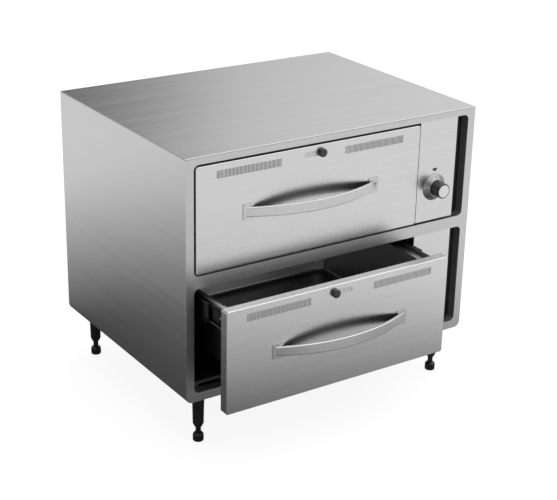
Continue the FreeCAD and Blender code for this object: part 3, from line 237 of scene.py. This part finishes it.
def galvanised_sheet():
    """Hot dip galvanised sheet: dull blue grey, in flat crystals of zinc under an orange peel."""
    material, tree, place = begin("galvanised sheet")
    sized = add(tree, "Mapping", {"Vector": place,
                                  "Scale": per_mm(CRYSTAL_MM, CRYSTAL_MM, CRYSTAL_MM)}).outputs[0]
    crystal = add(tree, "TexVoronoi", {"Vector": sized, "Scale": 1.0}).outputs["Color"]
    tone = add(tree, "SeparateXYZ", {"Vector": crystal}).outputs["X"]
    colour = add(tree, "MixRGB", {"Fac": tone, "Color1": hue("#9a9fa3"), "Color2": hue("#adb1b4")})
    satin = add(tree, "MapRange", {"Value": tone, "To Min": 0.42, "To Max": 0.56})
    peel = add(tree, "TexNoise", {"Vector": sized, "Scale": PEEL_PER_CRYSTAL, "Detail": 2.0})
    skin = add(tree, "Bump", {"Height": peel.outputs["Fac"], "Distance": PEEL_DEPTH})
    finish_metal(tree, colour.outputs[0], satin.outputs[0], skin.outputs[0])
    return material


HANDLE_SCRATCH_L, HANDLE_SCRATCH_W = 40.0, 0.8
BACK_BEGINS, ALL_BACK = 0.25, 0.6        # where the surface's normal has this much of Y, the painted shade on the back begins and is full


def cast_handle():
    """Cast stainless: brushed along the bow where it shows, rough on its back, and dark there as
    painted shade between the bow and the drawer front.
    """
    material, tree, place = begin("cast stainless handle")
    normal = add(tree, "TexCoord").outputs["Normal"]
    facing = add(tree, "SeparateXYZ", {"Vector": normal}).outputs["Y"]
    painted_back_shade = add(tree, "MapRange", {"Value": facing, "From Min": BACK_BEGINS,
                                    "From Max": ALL_BACK}).outputs[0]
    fine = add(tree, "Mapping", {"Vector": place,
                                 "Scale": lengthwise("x", HANDLE_SCRATCH_L, HANDLE_SCRATCH_W)})
    scratch = add(tree, "TexNoise", {"Vector": fine.outputs[0], "Scale": 1.0,
                                     "Detail": 3.0}).outputs["Fac"]
    cut = add(tree, "MapRange", {"Value": scratch, **NOISE_SPREAD}).outputs[0]
    face = add(tree, "MixRGB", {"Fac": cut, "Color1": hue("#bcbcbc"), "Color2": hue("#cacaca")})
    # painted shade: the back, which faces the drawer front, is coloured near black
    colour = add(tree, "MixRGB", {"Fac": painted_back_shade, "Color1": face.outputs[0],
                                  "Color2": hue("#242425")})
    rough = add(tree, "MapRange", {"Value": painted_back_shade, "To Min": 0.2, "To Max": 0.55})
    ridge = add(tree, "Bump", {"Height": scratch, "Distance": SCRATCH_DEPTH})
    finish_metal(tree, colour.outputs[0], rough.outputs[0], ridge.outputs[0])
    return material


RING_MM = 0.35
RING_DEPTH = 0.02 * MM
RING_GLOSS = 0.1         # how far the roughness goes up


def spun_aluminium(name, tier, dark, light, rough):
    """Spun aluminium: fine rings round the dial's axis, which fan out what the metal mirrors."""
    material, tree, place = begin(name + " of %s dial" % tier)
    low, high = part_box(tier + "_knob")
    moved = add(tree, "VectorMath", {0: place, 1: (low + high) / 2}, operation="SUBTRACT")
    flat = add(tree, "VectorMath", {0: moved.outputs[0], 1: (1.0, 0.0, 1.0)}, operation="MULTIPLY")
    radius = add(tree, "VectorMath", {0: flat.outputs[0]}, operation="LENGTH").outputs["Value"]
    across = add(tree, "CombineXYZ", {"X": radius}).outputs[0]
    fine = add(tree, "Mapping", {"Vector": across, "Scale": per_mm(RING_MM, RING_MM, RING_MM)})
    ring = add(tree, "TexNoise", {"Vector": fine.outputs[0], "Scale": 1.0,
                                  "Detail": 3.0}).outputs["Fac"]
    tone = add(tree, "MapRange", {"Value": ring, **NOISE_SPREAD}).outputs[0]
    colour = add(tree, "MixRGB", {"Fac": tone, "Color1": hue(dark), "Color2": hue(light)})
    satin = add(tree, "MapRange", {"Value": tone, "To Min": rough, "To Max": rough + RING_GLOSS})
    groove = add(tree, "Bump", {"Height": ring, "Distance": RING_DEPTH})
    finish_metal(tree, colour.outputs[0], satin.outputs[0], groove.outputs[0])
    return material


def dress(material, *names):
    """Gives CAD nodes a finish."""
    for name in names:
        for slot in nodes[name].material_slots:
            slot.material = material


def both(*endings):
    """The names of the nodes with these endings, for both tiers."""
    return [tier + ending for tier in TIERS for ending in endings]


def dress_shell():
    """The outer panels, and the shutters, handles, legs and screws on them."""
    # Satin sheet, brushed from left to right on the top and the fronts, and front to back on
    # the sides, so that each panel mirrors the room as a soft, slightly streaked gradient. The
    # top is the smoothest, and the frame, which is bent and welded, the roughest.
    dress(brushed_sheet("brushed stainless top", "#bcbcbc", "#c6c6c6", 0.22), "top_panel")
    dress(brushed_sheet("brushed stainless frame", "#c6c6c6", "#d0d0d0", 0.42), "front_frame")
    dress(brushed_sheet("brushed stainless sides", "#c4c4c4", "#cecece", 0.3, "y"),
          "left_side_panel", "right_side_panel")
    dress(brushed_sheet("brushed stainless fronts", "#cecece", "#d6d6d6", 0.28),
          *both("_drawer_front", "_control_panel"))
    for tier in TIERS:
        dress(rubbed_shutter(tier), tier + "_vent_shutter")
    dress(galvanised_sheet(), "back_panel", "base_pan", "divider_wall")
    dress(cast_handle(), *both("_handle"))
    # Moulded black plastic with a low sheen, like a pen's barrel.
    dress(even_finish("black moulded nylon leg", "#0e0e0e", "#161616", 0.4, ior=1.53), "legs",
          *[name for name in nodes if name.startswith("foot_")])
    dress(even_finish("black nylon gland", "#141414", "#1c1c1c", 0.5, ior=1.53), "cord_gland")
    # Plain stainless screws and nuts, bright but not mirror-like.
    dress(even_finish("plain stainless fasteners", "#a0a0a0", "#b0b0b0", 0.35, 1.0),
          "cabinet_fasteners", "element_clips", *both("_handle_screws"))


def dress_cavity():
    """What stands behind the fronts, and the air slots beside the controls."""
    # Mill finish sheet, coloured a dark brown grey as painted shade inside the cavity.
    dress(brushed_sheet("liner darkened as painted shade", "#646462", "#727170", 0.45),
          *both("_liner", "_front_liner"))
    # Deep drawn pans: bright satin, streaked up the walls where the punch drew them.
    dress(brushed_sheet("drawn pan steel", "#bcbcbc", "#c8c8c8", 0.34, "z"), *both("_food_pan"))
    # Painted shade: the pan frame inside the cabinet is coloured a darker grey than bare steel.
    dress(brushed_sheet("pan frame darkened as painted shade", "#7c7c7b", "#8a8a88", 0.36, "y"),
          *both("_pan_frame"))
    # Zinc plating, coloured nearly black as painted shade inside the cabinet, with soft highlights
    # on its edges.
    dress(even_finish("zinc slides darkened as painted shade", "#343537", "#434446", 0.3, 1.0),
          "cabinet_slides", *both("_slide_middle", "_drawer_slides"))
    # Tissue faced glass wool: matt black, with the fibres' fine pile.
    dress(even_finish("black tissue on glass wool", "#121212", "#1c1c1c", 0.9,
                      grain_mm=4.0, depth_mm=1.0),
          "cabinet_insulation", *both("_front_insulation"))
    # Nickel alloy tube, oxidised to a rough brown black where it glows.
    dress(even_finish("oxidised element sheath", "#38322e", "#4e4742", 0.6, 1.0),
          *both("_heating_element"))
    dress(even_finish("plain copper", "#a8654a", "#c07c5c", 0.35, 1.0), "sensor_bulbs")
    dress(even_finish("matt black duct paint", "#222223", "#2c2c2d", 0.7, ior=1.5), "vent_baffles")


def dress_controls():
    """The dials, the vents' knobs and the electrical parts."""
    # The skirt is satin and greyer than the faced end of the knob, so that the end stands out.
    for tier in TIERS:
        dress(spun_aluminium("satin spun skirt", tier, "#8a8a8c", "#9e9ea0", 0.3),
              tier + "_dial_skirt")
        dress(spun_aluminium("bright faced end", tier, "#d0d0d1", "#dedede", 0.18),
              tier + "_knob_insert")
    # Compression moulded phenolic: deep black with a clean gloss.
    dress(even_finish("black phenolic knob", "#0d0d0d", "#141414", 0.3, ior=1.6),
          *both("_knob", "_shutter_knob"))
    dress(even_finish("brown phenolic case", "#2a221c", "#3a3028", 0.5, ior=1.6),
          *both("_thermostat"))
    dress(even_finish("turned brass", "#b49048", "#c8a860", 0.3, 1.0), *both("_thermostat_shaft"))
    dress(even_finish("cream melamine", "#e2dfd2", "#eeece2", 0.4, ior=1.5), "terminal_block")
    # Silicone sleeve: matt red with the woven glass under it just showing.
    dress(even_finish("red silicone sleeve", "#8a1e18", "#a02820", 0.55, ior=1.42), "wiring")


# ---- modelling by hand
FACING = 0.9             # part of a direction along an axis, above which it counts as that axis
LEANING = 0.2            # and above which it leans that way
WELD = 0.002 * MM
SMOOTH_ANGLE = math.radians(35)


def clear_selection():
    """Leaves no object selected."""
    bpy.ops.object.select_all(action="DESELECT")


def new_block(low, high):
    """A block between two corners, open for editing."""
    clear_selection()
    low, high = Vector(low), Vector(high)
    bpy.ops.mesh.primitive_cube_add(size=1.0, location=(low + high) / 2, scale=high - low)
    piece = bpy.context.object
    bpy.ops.object.transform_apply(location=True, rotation=True, scale=True)
    bpy.ops.object.mode_set(mode="EDIT")
    return piece


def new_disc(centre, radius, depth, sides, axis):
    """A flat cylinder that stands on centre along an axis, open for editing."""
    clear_selection()
    turn = axis.to_track_quat("Z", "Y").to_euler()
    bpy.ops.mesh.primitive_cylinder_add(vertices=sides, radius=radius, depth=depth, rotation=turn,
                                        location=Vector(centre) + axis * depth / 2)
    piece = bpy.context.object
    bpy.ops.object.transform_apply(location=True, rotation=True, scale=True)
    bpy.ops.object.mode_set(mode="EDIT")
    return piece


def pick_faces(piece, wanted):
    """Selects the faces for which wanted(centre, normal) holds."""
    bpy.ops.mesh.select_mode(type="FACE")
    mesh = bmesh.from_edit_mesh(piece.data)
    for face in mesh.faces:
        face.select_set(wanted(face.calc_center_median(), face.normal))
    mesh.select_flush_mode()
    bmesh.update_edit_mesh(piece.data)


def pick_edges(piece, wanted):
    """Selects the edges for which wanted(middle, direction) holds."""
    bpy.ops.mesh.select_mode(type="EDGE")
    mesh = bmesh.from_edit_mesh(piece.data)
    for edge in mesh.edges:
        start, end = (vert.co for vert in edge.verts)
        edge.select_set(wanted((start + end) / 2, (end - start).normalized()))
    mesh.select_flush_mode()
    bmesh.update_edit_mesh(piece.data)


def close_piece(piece, name, material, slot, body):
    """Leaves edit mode and gives a piece its name, finish, slot and body."""
    bpy.ops.mesh.select_mode(type="FACE")
    bpy.ops.mesh.select_all(action="SELECT")
    bpy.ops.mesh.normals_make_consistent(inside=False)
    bpy.ops.object.mode_set(mode="OBJECT")
    piece.name = name
    piece.data.name = name
    piece.data.materials.clear()
    piece.data.materials.append(material)
    bpy.ops.object.shade_smooth_by_angle(angle=SMOOTH_ANGLE)
    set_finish(piece, slot)
    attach(piece, body)
    return piece


def copy_piece(piece, name, step, body):
    """A copy with its own mesh and the same slot, moved by step."""
    made = piece.copy()
    made.data = piece.data.copy()
    made.data.transform(Matrix.Translation(step))
    made.name = name
    made.data.name = name
    bpy.context.scene.collection.objects.link(made)
    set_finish(made, piece["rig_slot"])
    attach(made, body)


# ---- marks on and over the dials
SKIRT_TIP_R = 20.0 * MM      # the skirt's end next to the grip
NUMBER_R = 24.2 * MM
NUMBER_SIZE = 6.4 * MM       # the figures are about 0.7 of this in height
NUMBERS = 10
NUMBER_STEP = math.radians(30)
TICKS_PER_NUMBER = 2
TICK_R = 27.9 * MM
TICK_L = 1.8 * MM
TICK_W = 0.7 * MM
INK_T = 0.12 * MM
INDEX_RISE = 41.0 * MM       # dial's axis to the middle of the mark
INDEX_W = 15.0 * MM
INDEX_H = 7.0 * MM
INDEX_T = 0.4 * MM
INDEX_TAPER = 0.3            # width of its foot to that of its top
INDEX_CORNER_R = 0.8 * MM
INDEX_EDGE = 0.15 * MM


def dial_cone(tier):
    """Where the skirt's axis meets its wide end, and the slope of its face."""
    low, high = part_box(tier + "_dial_skirt")
    base = Vector(((low.x + high.x) / 2, high.y, (low.z + high.z) / 2))
    slope = math.atan2(high.y - low.y, (high.x - low.x) / 2 - SKIRT_TIP_R)
    return base, slope


def on_skirt(base, slope, radius, turn):
    """A point of the skirt, turned left from its top."""
    reach = (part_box("lower_dial_skirt")[1].x - base.x) - radius
    return base + Vector((-math.sin(turn) * radius, -reach * math.tan(slope),
                          math.cos(turn) * radius))


def make_numbers(base, slope):
    """0 to 9, set so that the higher ones come under the index mark as the dial turns right."""
    made = []
    for number in range(NUMBERS):
        turn = number * NUMBER_STEP
        clear_selection()
        bpy.ops.object.text_add(location=on_skirt(base, slope, NUMBER_R, turn),
                                rotation=(math.pi / 2 - slope, -turn, 0.0))
        figure = bpy.context.object
        figure.data.body = str(number)
        figure.data.size = NUMBER_SIZE
        figure.data.extrude = INK_T
        figure.data.align_x = "CENTER"
        figure.data.align_y = "CENTER"
        bpy.ops.object.convert(target="MESH")
        bpy.ops.object.transform_apply(location=True, rotation=True, scale=True)
        made.append(figure)
    return made


def make_dial_scale(material):
    """Figures and ticks that lie on the skirt of the lower dial, and a copy for the upper one."""
    base, slope = dial_cone("lower")
    middle = on_skirt(base, slope, TICK_R, 0.0)
    half = Vector((TICK_W / 2, INK_T, TICK_L / 2))
    scale = new_block(middle - half, middle + half)
    pick_edges(scale, lambda at, along: abs(along.y) > FACING)
    bpy.ops.mesh.bevel(offset=TICK_W / 4, segments=2)
    bpy.ops.mesh.select_all(action="SELECT")
    bpy.ops.transform.rotate(value=slope, orient_axis="X", center_override=middle)
    bpy.ops.mesh.spin(steps=(NUMBERS - 1) * TICKS_PER_NUMBER, dupli=True,
                      angle=(NUMBERS - 1) * NUMBER_STEP, center=base, axis=(0.0, 1.0, 0.0))
    bpy.ops.object.mode_set(mode="OBJECT")
    numbers = make_numbers(base, slope)
    clear_selection()
    for piece in (*numbers, scale):
        piece.select_set(True)
    bpy.context.view_layer.objects.active = scale
    bpy.ops.object.join()
    bpy.ops.object.mode_set(mode="EDIT")
    bpy.ops.mesh.select_all(action="SELECT")
    bpy.ops.mesh.remove_doubles(threshold=WELD)
    close_piece(scale, "lower_dial_scale", material, "black_baffle", "lower_dial")
    copy_piece(scale, "upper_dial_scale", dial_cone("upper")[0] - base, "upper_dial")


def make_index_mark(material):
    """A wedge over each dial, pointing down at its scale."""
    centre = dial_cone("lower")[0]
    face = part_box("lower_control_panel")[0].y
    low = Vector((centre.x - INDEX_W / 2, face - INDEX_T, centre.z + INDEX_RISE - INDEX_H / 2))
    high = Vector((centre.x + INDEX_W / 2, face, centre.z + INDEX_RISE + INDEX_H / 2))
    mark = new_block(low, high)
    pick_faces(mark, lambda at, normal: normal.z < -FACING)
    bpy.ops.transform.resize(value=(INDEX_TAPER, 1.0, 1.0))
    pick_edges(mark, lambda at, along: abs(along.y) > FACING)
    bpy.ops.mesh.bevel(offset=INDEX_CORNER_R, segments=3)
    pick_faces(mark, lambda at, normal: normal.y < -FACING)
    bpy.ops.mesh.bevel(offset=INDEX_EDGE, segments=2)
    close_piece(mark, "lower_index_mark", material, "black_baffle", "cabinet")
    copy_piece(mark, "upper_index_mark", dial_cone("upper")[0] - centre, "cabinet")


# ---- rivets in the slides
RIVET_R = 3.2 * MM
RIVET_T = 0.9 * MM
RIVET_DOME = 0.7 * MM
RIVET_SIDES = 24
RIVET_FIRST = 22.0 * MM      # slide's front end to the first rivet
RIVET_STEP = 96.0 * MM
RIVETS = 5
SLIDE_WEB = 1.2 * MM         # the channels' sheet, between the pan frame and the rivets' heads


def make_rivet(name, centre, axis, material, body):
    """A domed head that stands on centre along an axis."""
    rivet = new_disc(centre, RIVET_R, RIVET_T, RIVET_SIDES, axis)
    pick_faces(rivet, lambda at, normal: normal.dot(axis) > FACING)
    bpy.ops.mesh.bevel(offset=RIVET_DOME, segments=4)
    return close_piece(rivet, name, material, "fastener_steel", body)


def make_slide_rivets(material):
    """Domed heads on the outer face of each drawer's channels, at both sides."""
    low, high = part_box("lower_drawer_slides")
    inner_low, inner_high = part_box("lower_pan_frame")
    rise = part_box("upper_drawer_slides")[0].z - low.z
    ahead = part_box("upper_drawer_slides")[0].y - low.y
    for side, face, out in (("left", inner_low.x - SLIDE_WEB, -1.0),
                            ("right", inner_high.x + SLIDE_WEB, 1.0)):
        axis = Vector((out, 0.0, 0.0))
        first = Vector((face, low.y + RIVET_FIRST, (low.z + high.z) / 2))
        rivet = make_rivet("lower_%s_slide_rivet_1" % side, first, axis, material, "lower_drawer")
        for number in range(RIVETS):
            along = Vector((0.0, RIVET_STEP * number, 0.0))
            if number:
                copy_piece(rivet, "lower_%s_slide_rivet_%d" % (side, number + 1), along,
                           "lower_drawer")
            copy_piece(rivet, "upper_%s_slide_rivet_%d" % (side, number + 1),
                       along + Vector((0.0, ahead, rise)), "upper_drawer")


# ---- back of the cabinet
HOOD_L = 76.0 * MM
HOOD_H = 9.0 * MM
HOOD_OUT = 4.5 * MM
HOOD_SHEET = 0.8 * MM
HOOD_TOP_OUT = 1.0 * MM      # how far its top edge stands out
HOOD_TAPER = 0.94            # length of its face to that of its root
HOOD_EDGE_R = 1.2 * MM
HOOD_CLEAR = 0.5 * MM        # an edge this far from the panel and the foot isn't on them
LOUVRE_TOP = 60.0 * MM       # top of the back panel to the highest louvre's lower edge
LOUVRE_PITCH = 14.0 * MM
LOUVRES = 9
PLATE_W = 90.0 * MM
PLATE_H = 50.0 * MM
PLATE_T = 0.8 * MM
PLATE_DROP = 90.0 * MM       # top of the back panel to the plate's middle
PLATE_CORNER_R = 4.0 * MM
PLATE_RIM = 1.6 * MM
PLATE_SUNK = 0.3 * MM        # how far its field lies under the rim
PLATE_RIVET_IN = 6.0 * MM    # plate's edges to its rivets


def make_louvre_hoods(material):
    """A pressed hood over each louvre of the control compartment, open at its foot."""
    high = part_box("back_panel")[1]
    centre = (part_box("divider_wall")[1].x + high.x) / 2
    slot_low = high.z - LOUVRE_TOP
    hood = new_block((centre - HOOD_L / 2, high.y, slot_low),
                     (centre + HOOD_L / 2, high.y + HOOD_OUT, slot_low + HOOD_H))
    pick_edges(hood, lambda at, along: abs(along.x) > FACING and at.y > high.y + HOOD_CLEAR
               and at.z > slot_low + HOOD_CLEAR)
    bpy.ops.transform.translate(value=(0.0, -HOOD_OUT + HOOD_TOP_OUT, 0.0))
    pick_faces(hood, lambda at, normal: normal.y > LEANING)
    bpy.ops.transform.resize(value=(HOOD_TAPER, 1.0, 1.0))
    pick_edges(hood, lambda at, along: at.y > high.y + HOOD_CLEAR
               and at.z > slot_low + HOOD_CLEAR)
    bpy.ops.mesh.bevel(offset=HOOD_EDGE_R, segments=3)
    pick_faces(hood, lambda at, normal: normal.z < -FACING or normal.y < -FACING)
    bpy.ops.mesh.delete(type="FACE")
    bpy.ops.mesh.select_all(action="SELECT")
    bpy.ops.mesh.normals_make_consistent(inside=False)
    bpy.ops.object.mode_set(mode="OBJECT")
    shell = hood.modifiers.new("sheet", "SOLIDIFY")
    shell.thickness = HOOD_SHEET
    shell.offset = -1.0
    bpy.ops.object.modifier_apply(modifier=shell.name)
    bpy.ops.object.mode_set(mode="EDIT")
    close_piece(hood, "louvre_hood_1", material, "galvanised_back", "cabinet")
    for row in range(1, LOUVRES):
        copy_piece(hood, "louvre_hood_%d" % (row + 1), Vector((0.0, 0.0, -LOUVRE_PITCH * row)),
                   "cabinet")


def make_rating_plate(material, rivet_material):
    """A blank plate, its rim left standing round a lower field, with a rivet in each corner."""
    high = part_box("back_panel")[1]
    middle = Vector((0.0, high.y, high.z - PLATE_DROP))
    plate = new_block(middle - Vector((PLATE_W / 2, 0.0, PLATE_H / 2)),
                      middle + Vector((PLATE_W / 2, PLATE_T, PLATE_H / 2)))
    pick_edges(plate, lambda at, along: abs(along.y) > FACING)
    bpy.ops.mesh.bevel(offset=PLATE_CORNER_R, segments=5)
    pick_faces(plate, lambda at, normal: normal.y > FACING)
    bpy.ops.mesh.inset(thickness=PLATE_RIM)
    bpy.ops.mesh.inset(thickness=PLATE_SUNK, depth=-PLATE_SUNK)
    close_piece(plate, "rating_plate", material, "dial_aluminium", "cabinet")
    for number, (side, end) in enumerate(((-1, -1), (-1, 1), (1, -1), (1, 1)), 1):
        place = middle + Vector((side * (PLATE_W / 2 - PLATE_RIVET_IN), PLATE_T - PLATE_SUNK,
                                 end * (PLATE_H / 2 - PLATE_RIVET_IN)))
        make_rivet("rating_plate_rivet_%d" % number, place, Vector((0.0, 1.0, 0.0)),
                   rivet_material, "cabinet")


def make_details():
    """The marks, rivets, hoods and plate that the CAD part doesn't have."""
    ink = even_finish("black printing ink", "#1c1c1d", "#262628", 0.5, ior=1.5)
    make_dial_scale(ink)
    make_index_mark(ink)
    rivet_steel = even_finish("zinc plated rivets", "#a2a2a4", "#b6b6b8", 0.32, 1.0)
    make_slide_rivets(rivet_steel)
    make_louvre_hoods(galvanised_sheet())
    make_rating_plate(even_finish("matt etched aluminium", "#b4b4b5", "#c2c2c3", 0.42, 1.0),
                      rivet_steel)


# ---- stage and light
FLOOR_SIZE = 24.0
FLOOR_SHADOW_DARKEST = 0.08         # level of the painted shadow under the cabinet, which only metal mirrors
FLOOR_REACH = 0.92           # distance from the cabinet at which it is white
FLOOR_SLANT = 0.4            # how much sooner that is at the right
FLOOR_GLOW = 1.06            # for the camera alone, so that the floor shows white
GLOW_SHARE = 0.85            # the rest of what it sees is paint, which takes the shadow
ROOM_DARKEST = 0.4           # level of the room low down
DIM_BELOW, FULL_ABOVE = 0.5, 0.95    # of the right and up parts of a direction, added
DOOR_WAY = (0.30, 0.91, 0.28)        # where the dark door is that the top mirrors at its far left
DOOR_EDGE, DOOR_HEART = 0.97, 0.998  # nearness to that from which the room darkens and is black
LAMP_PLACE, LAMP_AIM = (0.5, -0.5, 3.0), (0.0, 0.0, 0.3)
LAMP_SIZE = 6.0
LAMP_POWER = 112.0


def distance_from_cabinet(tree, place):
    """How far a point of the floor is from the cabinet's outline, in metres."""
    middle = (cad_low + cad_high) / 2
    half = (cad_high - cad_low) / 2
    moved = add(tree, "VectorMath", {0: place, 1: (middle.x, middle.y, 0.0)},
                operation="SUBTRACT")
    folded = add(tree, "VectorMath", {0: moved.outputs[0]}, operation="ABSOLUTE")
    past = add(tree, "VectorMath", {0: folded.outputs[0], 1: (half.x, half.y, 0.0)},
               operation="SUBTRACT")
    outside = add(tree, "VectorMath", {0: past.outputs[0], 1: (0.0, 0.0, 0.0)},
                  operation="MAXIMUM")
    return add(tree, "VectorMath", {0: outside.outputs[0]}, operation="LENGTH").outputs["Value"]


def seen_by_camera(tree, rays):
    """1 for what the camera sees, straight or through glass, and 0 for what is mirrored or lit."""
    either = add(tree, "Math", {0: rays.outputs["Is Camera Ray"],
                                1: rays.outputs["Is Transmission Ray"]}, operation="MAXIMUM")
    return either.outputs[0]


def make_floor():
    """A pale floor that keeps the shadow. Metal mirrors it with a painted shadow: dark near the
    cabinet, then white.
    """
    clear_selection()
    bpy.ops.mesh.primitive_plane_add(size=FLOOR_SIZE, location=(0.0, 0.0, 0.0))
    floor = bpy.context.object
    floor.name = "floor"
    material, tree, place = begin("pale studio floor")
    rays = add(tree, "LightPath")
    across = add(tree, "SeparateXYZ", {"Vector": place}).outputs["X"]
    reach = add(tree, "Math", {0: across, 1: FLOOR_SLANT, 2: distance_from_cabinet(tree, place)},
                operation="MULTIPLY_ADD").outputs[0]
    # painted shadow: for mirrored rays the floor glows dark near the cabinet and white further out
    level = add(tree, "MapRange", {"Value": reach, "From Max": FLOOR_REACH,
                                   "To Min": FLOOR_SHADOW_DARKEST}).outputs[0]
    paint = add(tree, "BsdfDiffuse", {"Color": hue("#f4f4f4")})
    glow = add(tree, "Emission", {"Color": hue("#ffffff"), "Strength": FLOOR_GLOW})
    seen = seen_by_camera(tree, rays)
    share = add(tree, "Math", {0: seen, 1: GLOW_SHARE}, operation="MULTIPLY")
    shown = add(tree, "MixShader", {0: share.outputs[0], 1: paint.outputs[0], 2: glow.outputs[0]})
    painted_floor_shadow = add(tree, "Emission", {"Color": hue("#ffffff"), "Strength": level})
    mixed = add(tree, "MixShader", {0: rays.outputs["Is Glossy Ray"], 1: shown.outputs[0],
                                    2: painted_floor_shadow.outputs[0]})
    add(tree, "OutputMaterial", {"Surface": mixed.outputs[0]})
    floor.data.materials.append(material)


def make_world():
    """White where it shows. For what it lights, a room that is dark low down and at a far door."""
    world = bpy.data.worlds.new("studio")
    bpy.context.scene.world = world
    world.use_nodes = True
    tree = world.node_tree
    tree.nodes.clear()
    seen = seen_by_camera(tree, add(tree, "LightPath"))
    way = add(tree, "TexCoord").outputs["Generated"]
    away = add(tree, "SeparateXYZ", {"Vector": way})
    rise = add(tree, "Math", {0: away.outputs["X"], 1: away.outputs["Z"]}, operation="ADD")
    level = add(tree, "MapRange", {"Value": rise.outputs[0], "From Min": DIM_BELOW,
                                   "From Max": FULL_ABOVE, "To Min": ROOM_DARKEST}).outputs[0]
    nearness = add(tree, "VectorMath", {0: way, 1: DOOR_WAY}, operation="DOT_PRODUCT")
    open_room = add(tree, "MapRange", {"Value": nearness.outputs["Value"], "From Min": DOOR_EDGE,
                                       "From Max": DOOR_HEART, "To Min": 1.0,
                                       "To Max": 0.0}).outputs[0]
    strength = add(tree, "Math", {0: level, 1: open_room}, operation="MULTIPLY").outputs[0]
    room = add(tree, "Background", {"Color": hue("#ffffff"), "Strength": strength})
    white = add(tree, "Background", {"Color": hue("#ffffff"), "Strength": 1.0})
    mixed = add(tree, "MixShader", {0: seen, 1: room.outputs[0], 2: white.outputs[0]})
    add(tree, "OutputWorld", {"Surface": mixed.outputs[0]})


def make_lamp():
    """One wide soft lamp over the cabinet."""
    data = bpy.data.lights.new("overhead", "AREA")
    data.shape = "RECTANGLE"
    data.size = data.size_y = LAMP_SIZE
    data.energy = LAMP_POWER
    lamp = bpy.data.objects.new("overhead", data)
    bpy.context.scene.collection.objects.link(lamp)
    lamp.location = LAMP_PLACE
    lamp.rotation_mode = "QUATERNION"
    lamp.rotation_quaternion = (Vector(LAMP_AIM) - Vector(LAMP_PLACE)).to_track_quat("-Z", "Y")


make_camera()
make_floor()
make_world()
make_lamp()
dress_shell()
dress_cavity()
dress_controls()
make_details()
bpy.context.scene.view_settings.view_transform = "Standard"
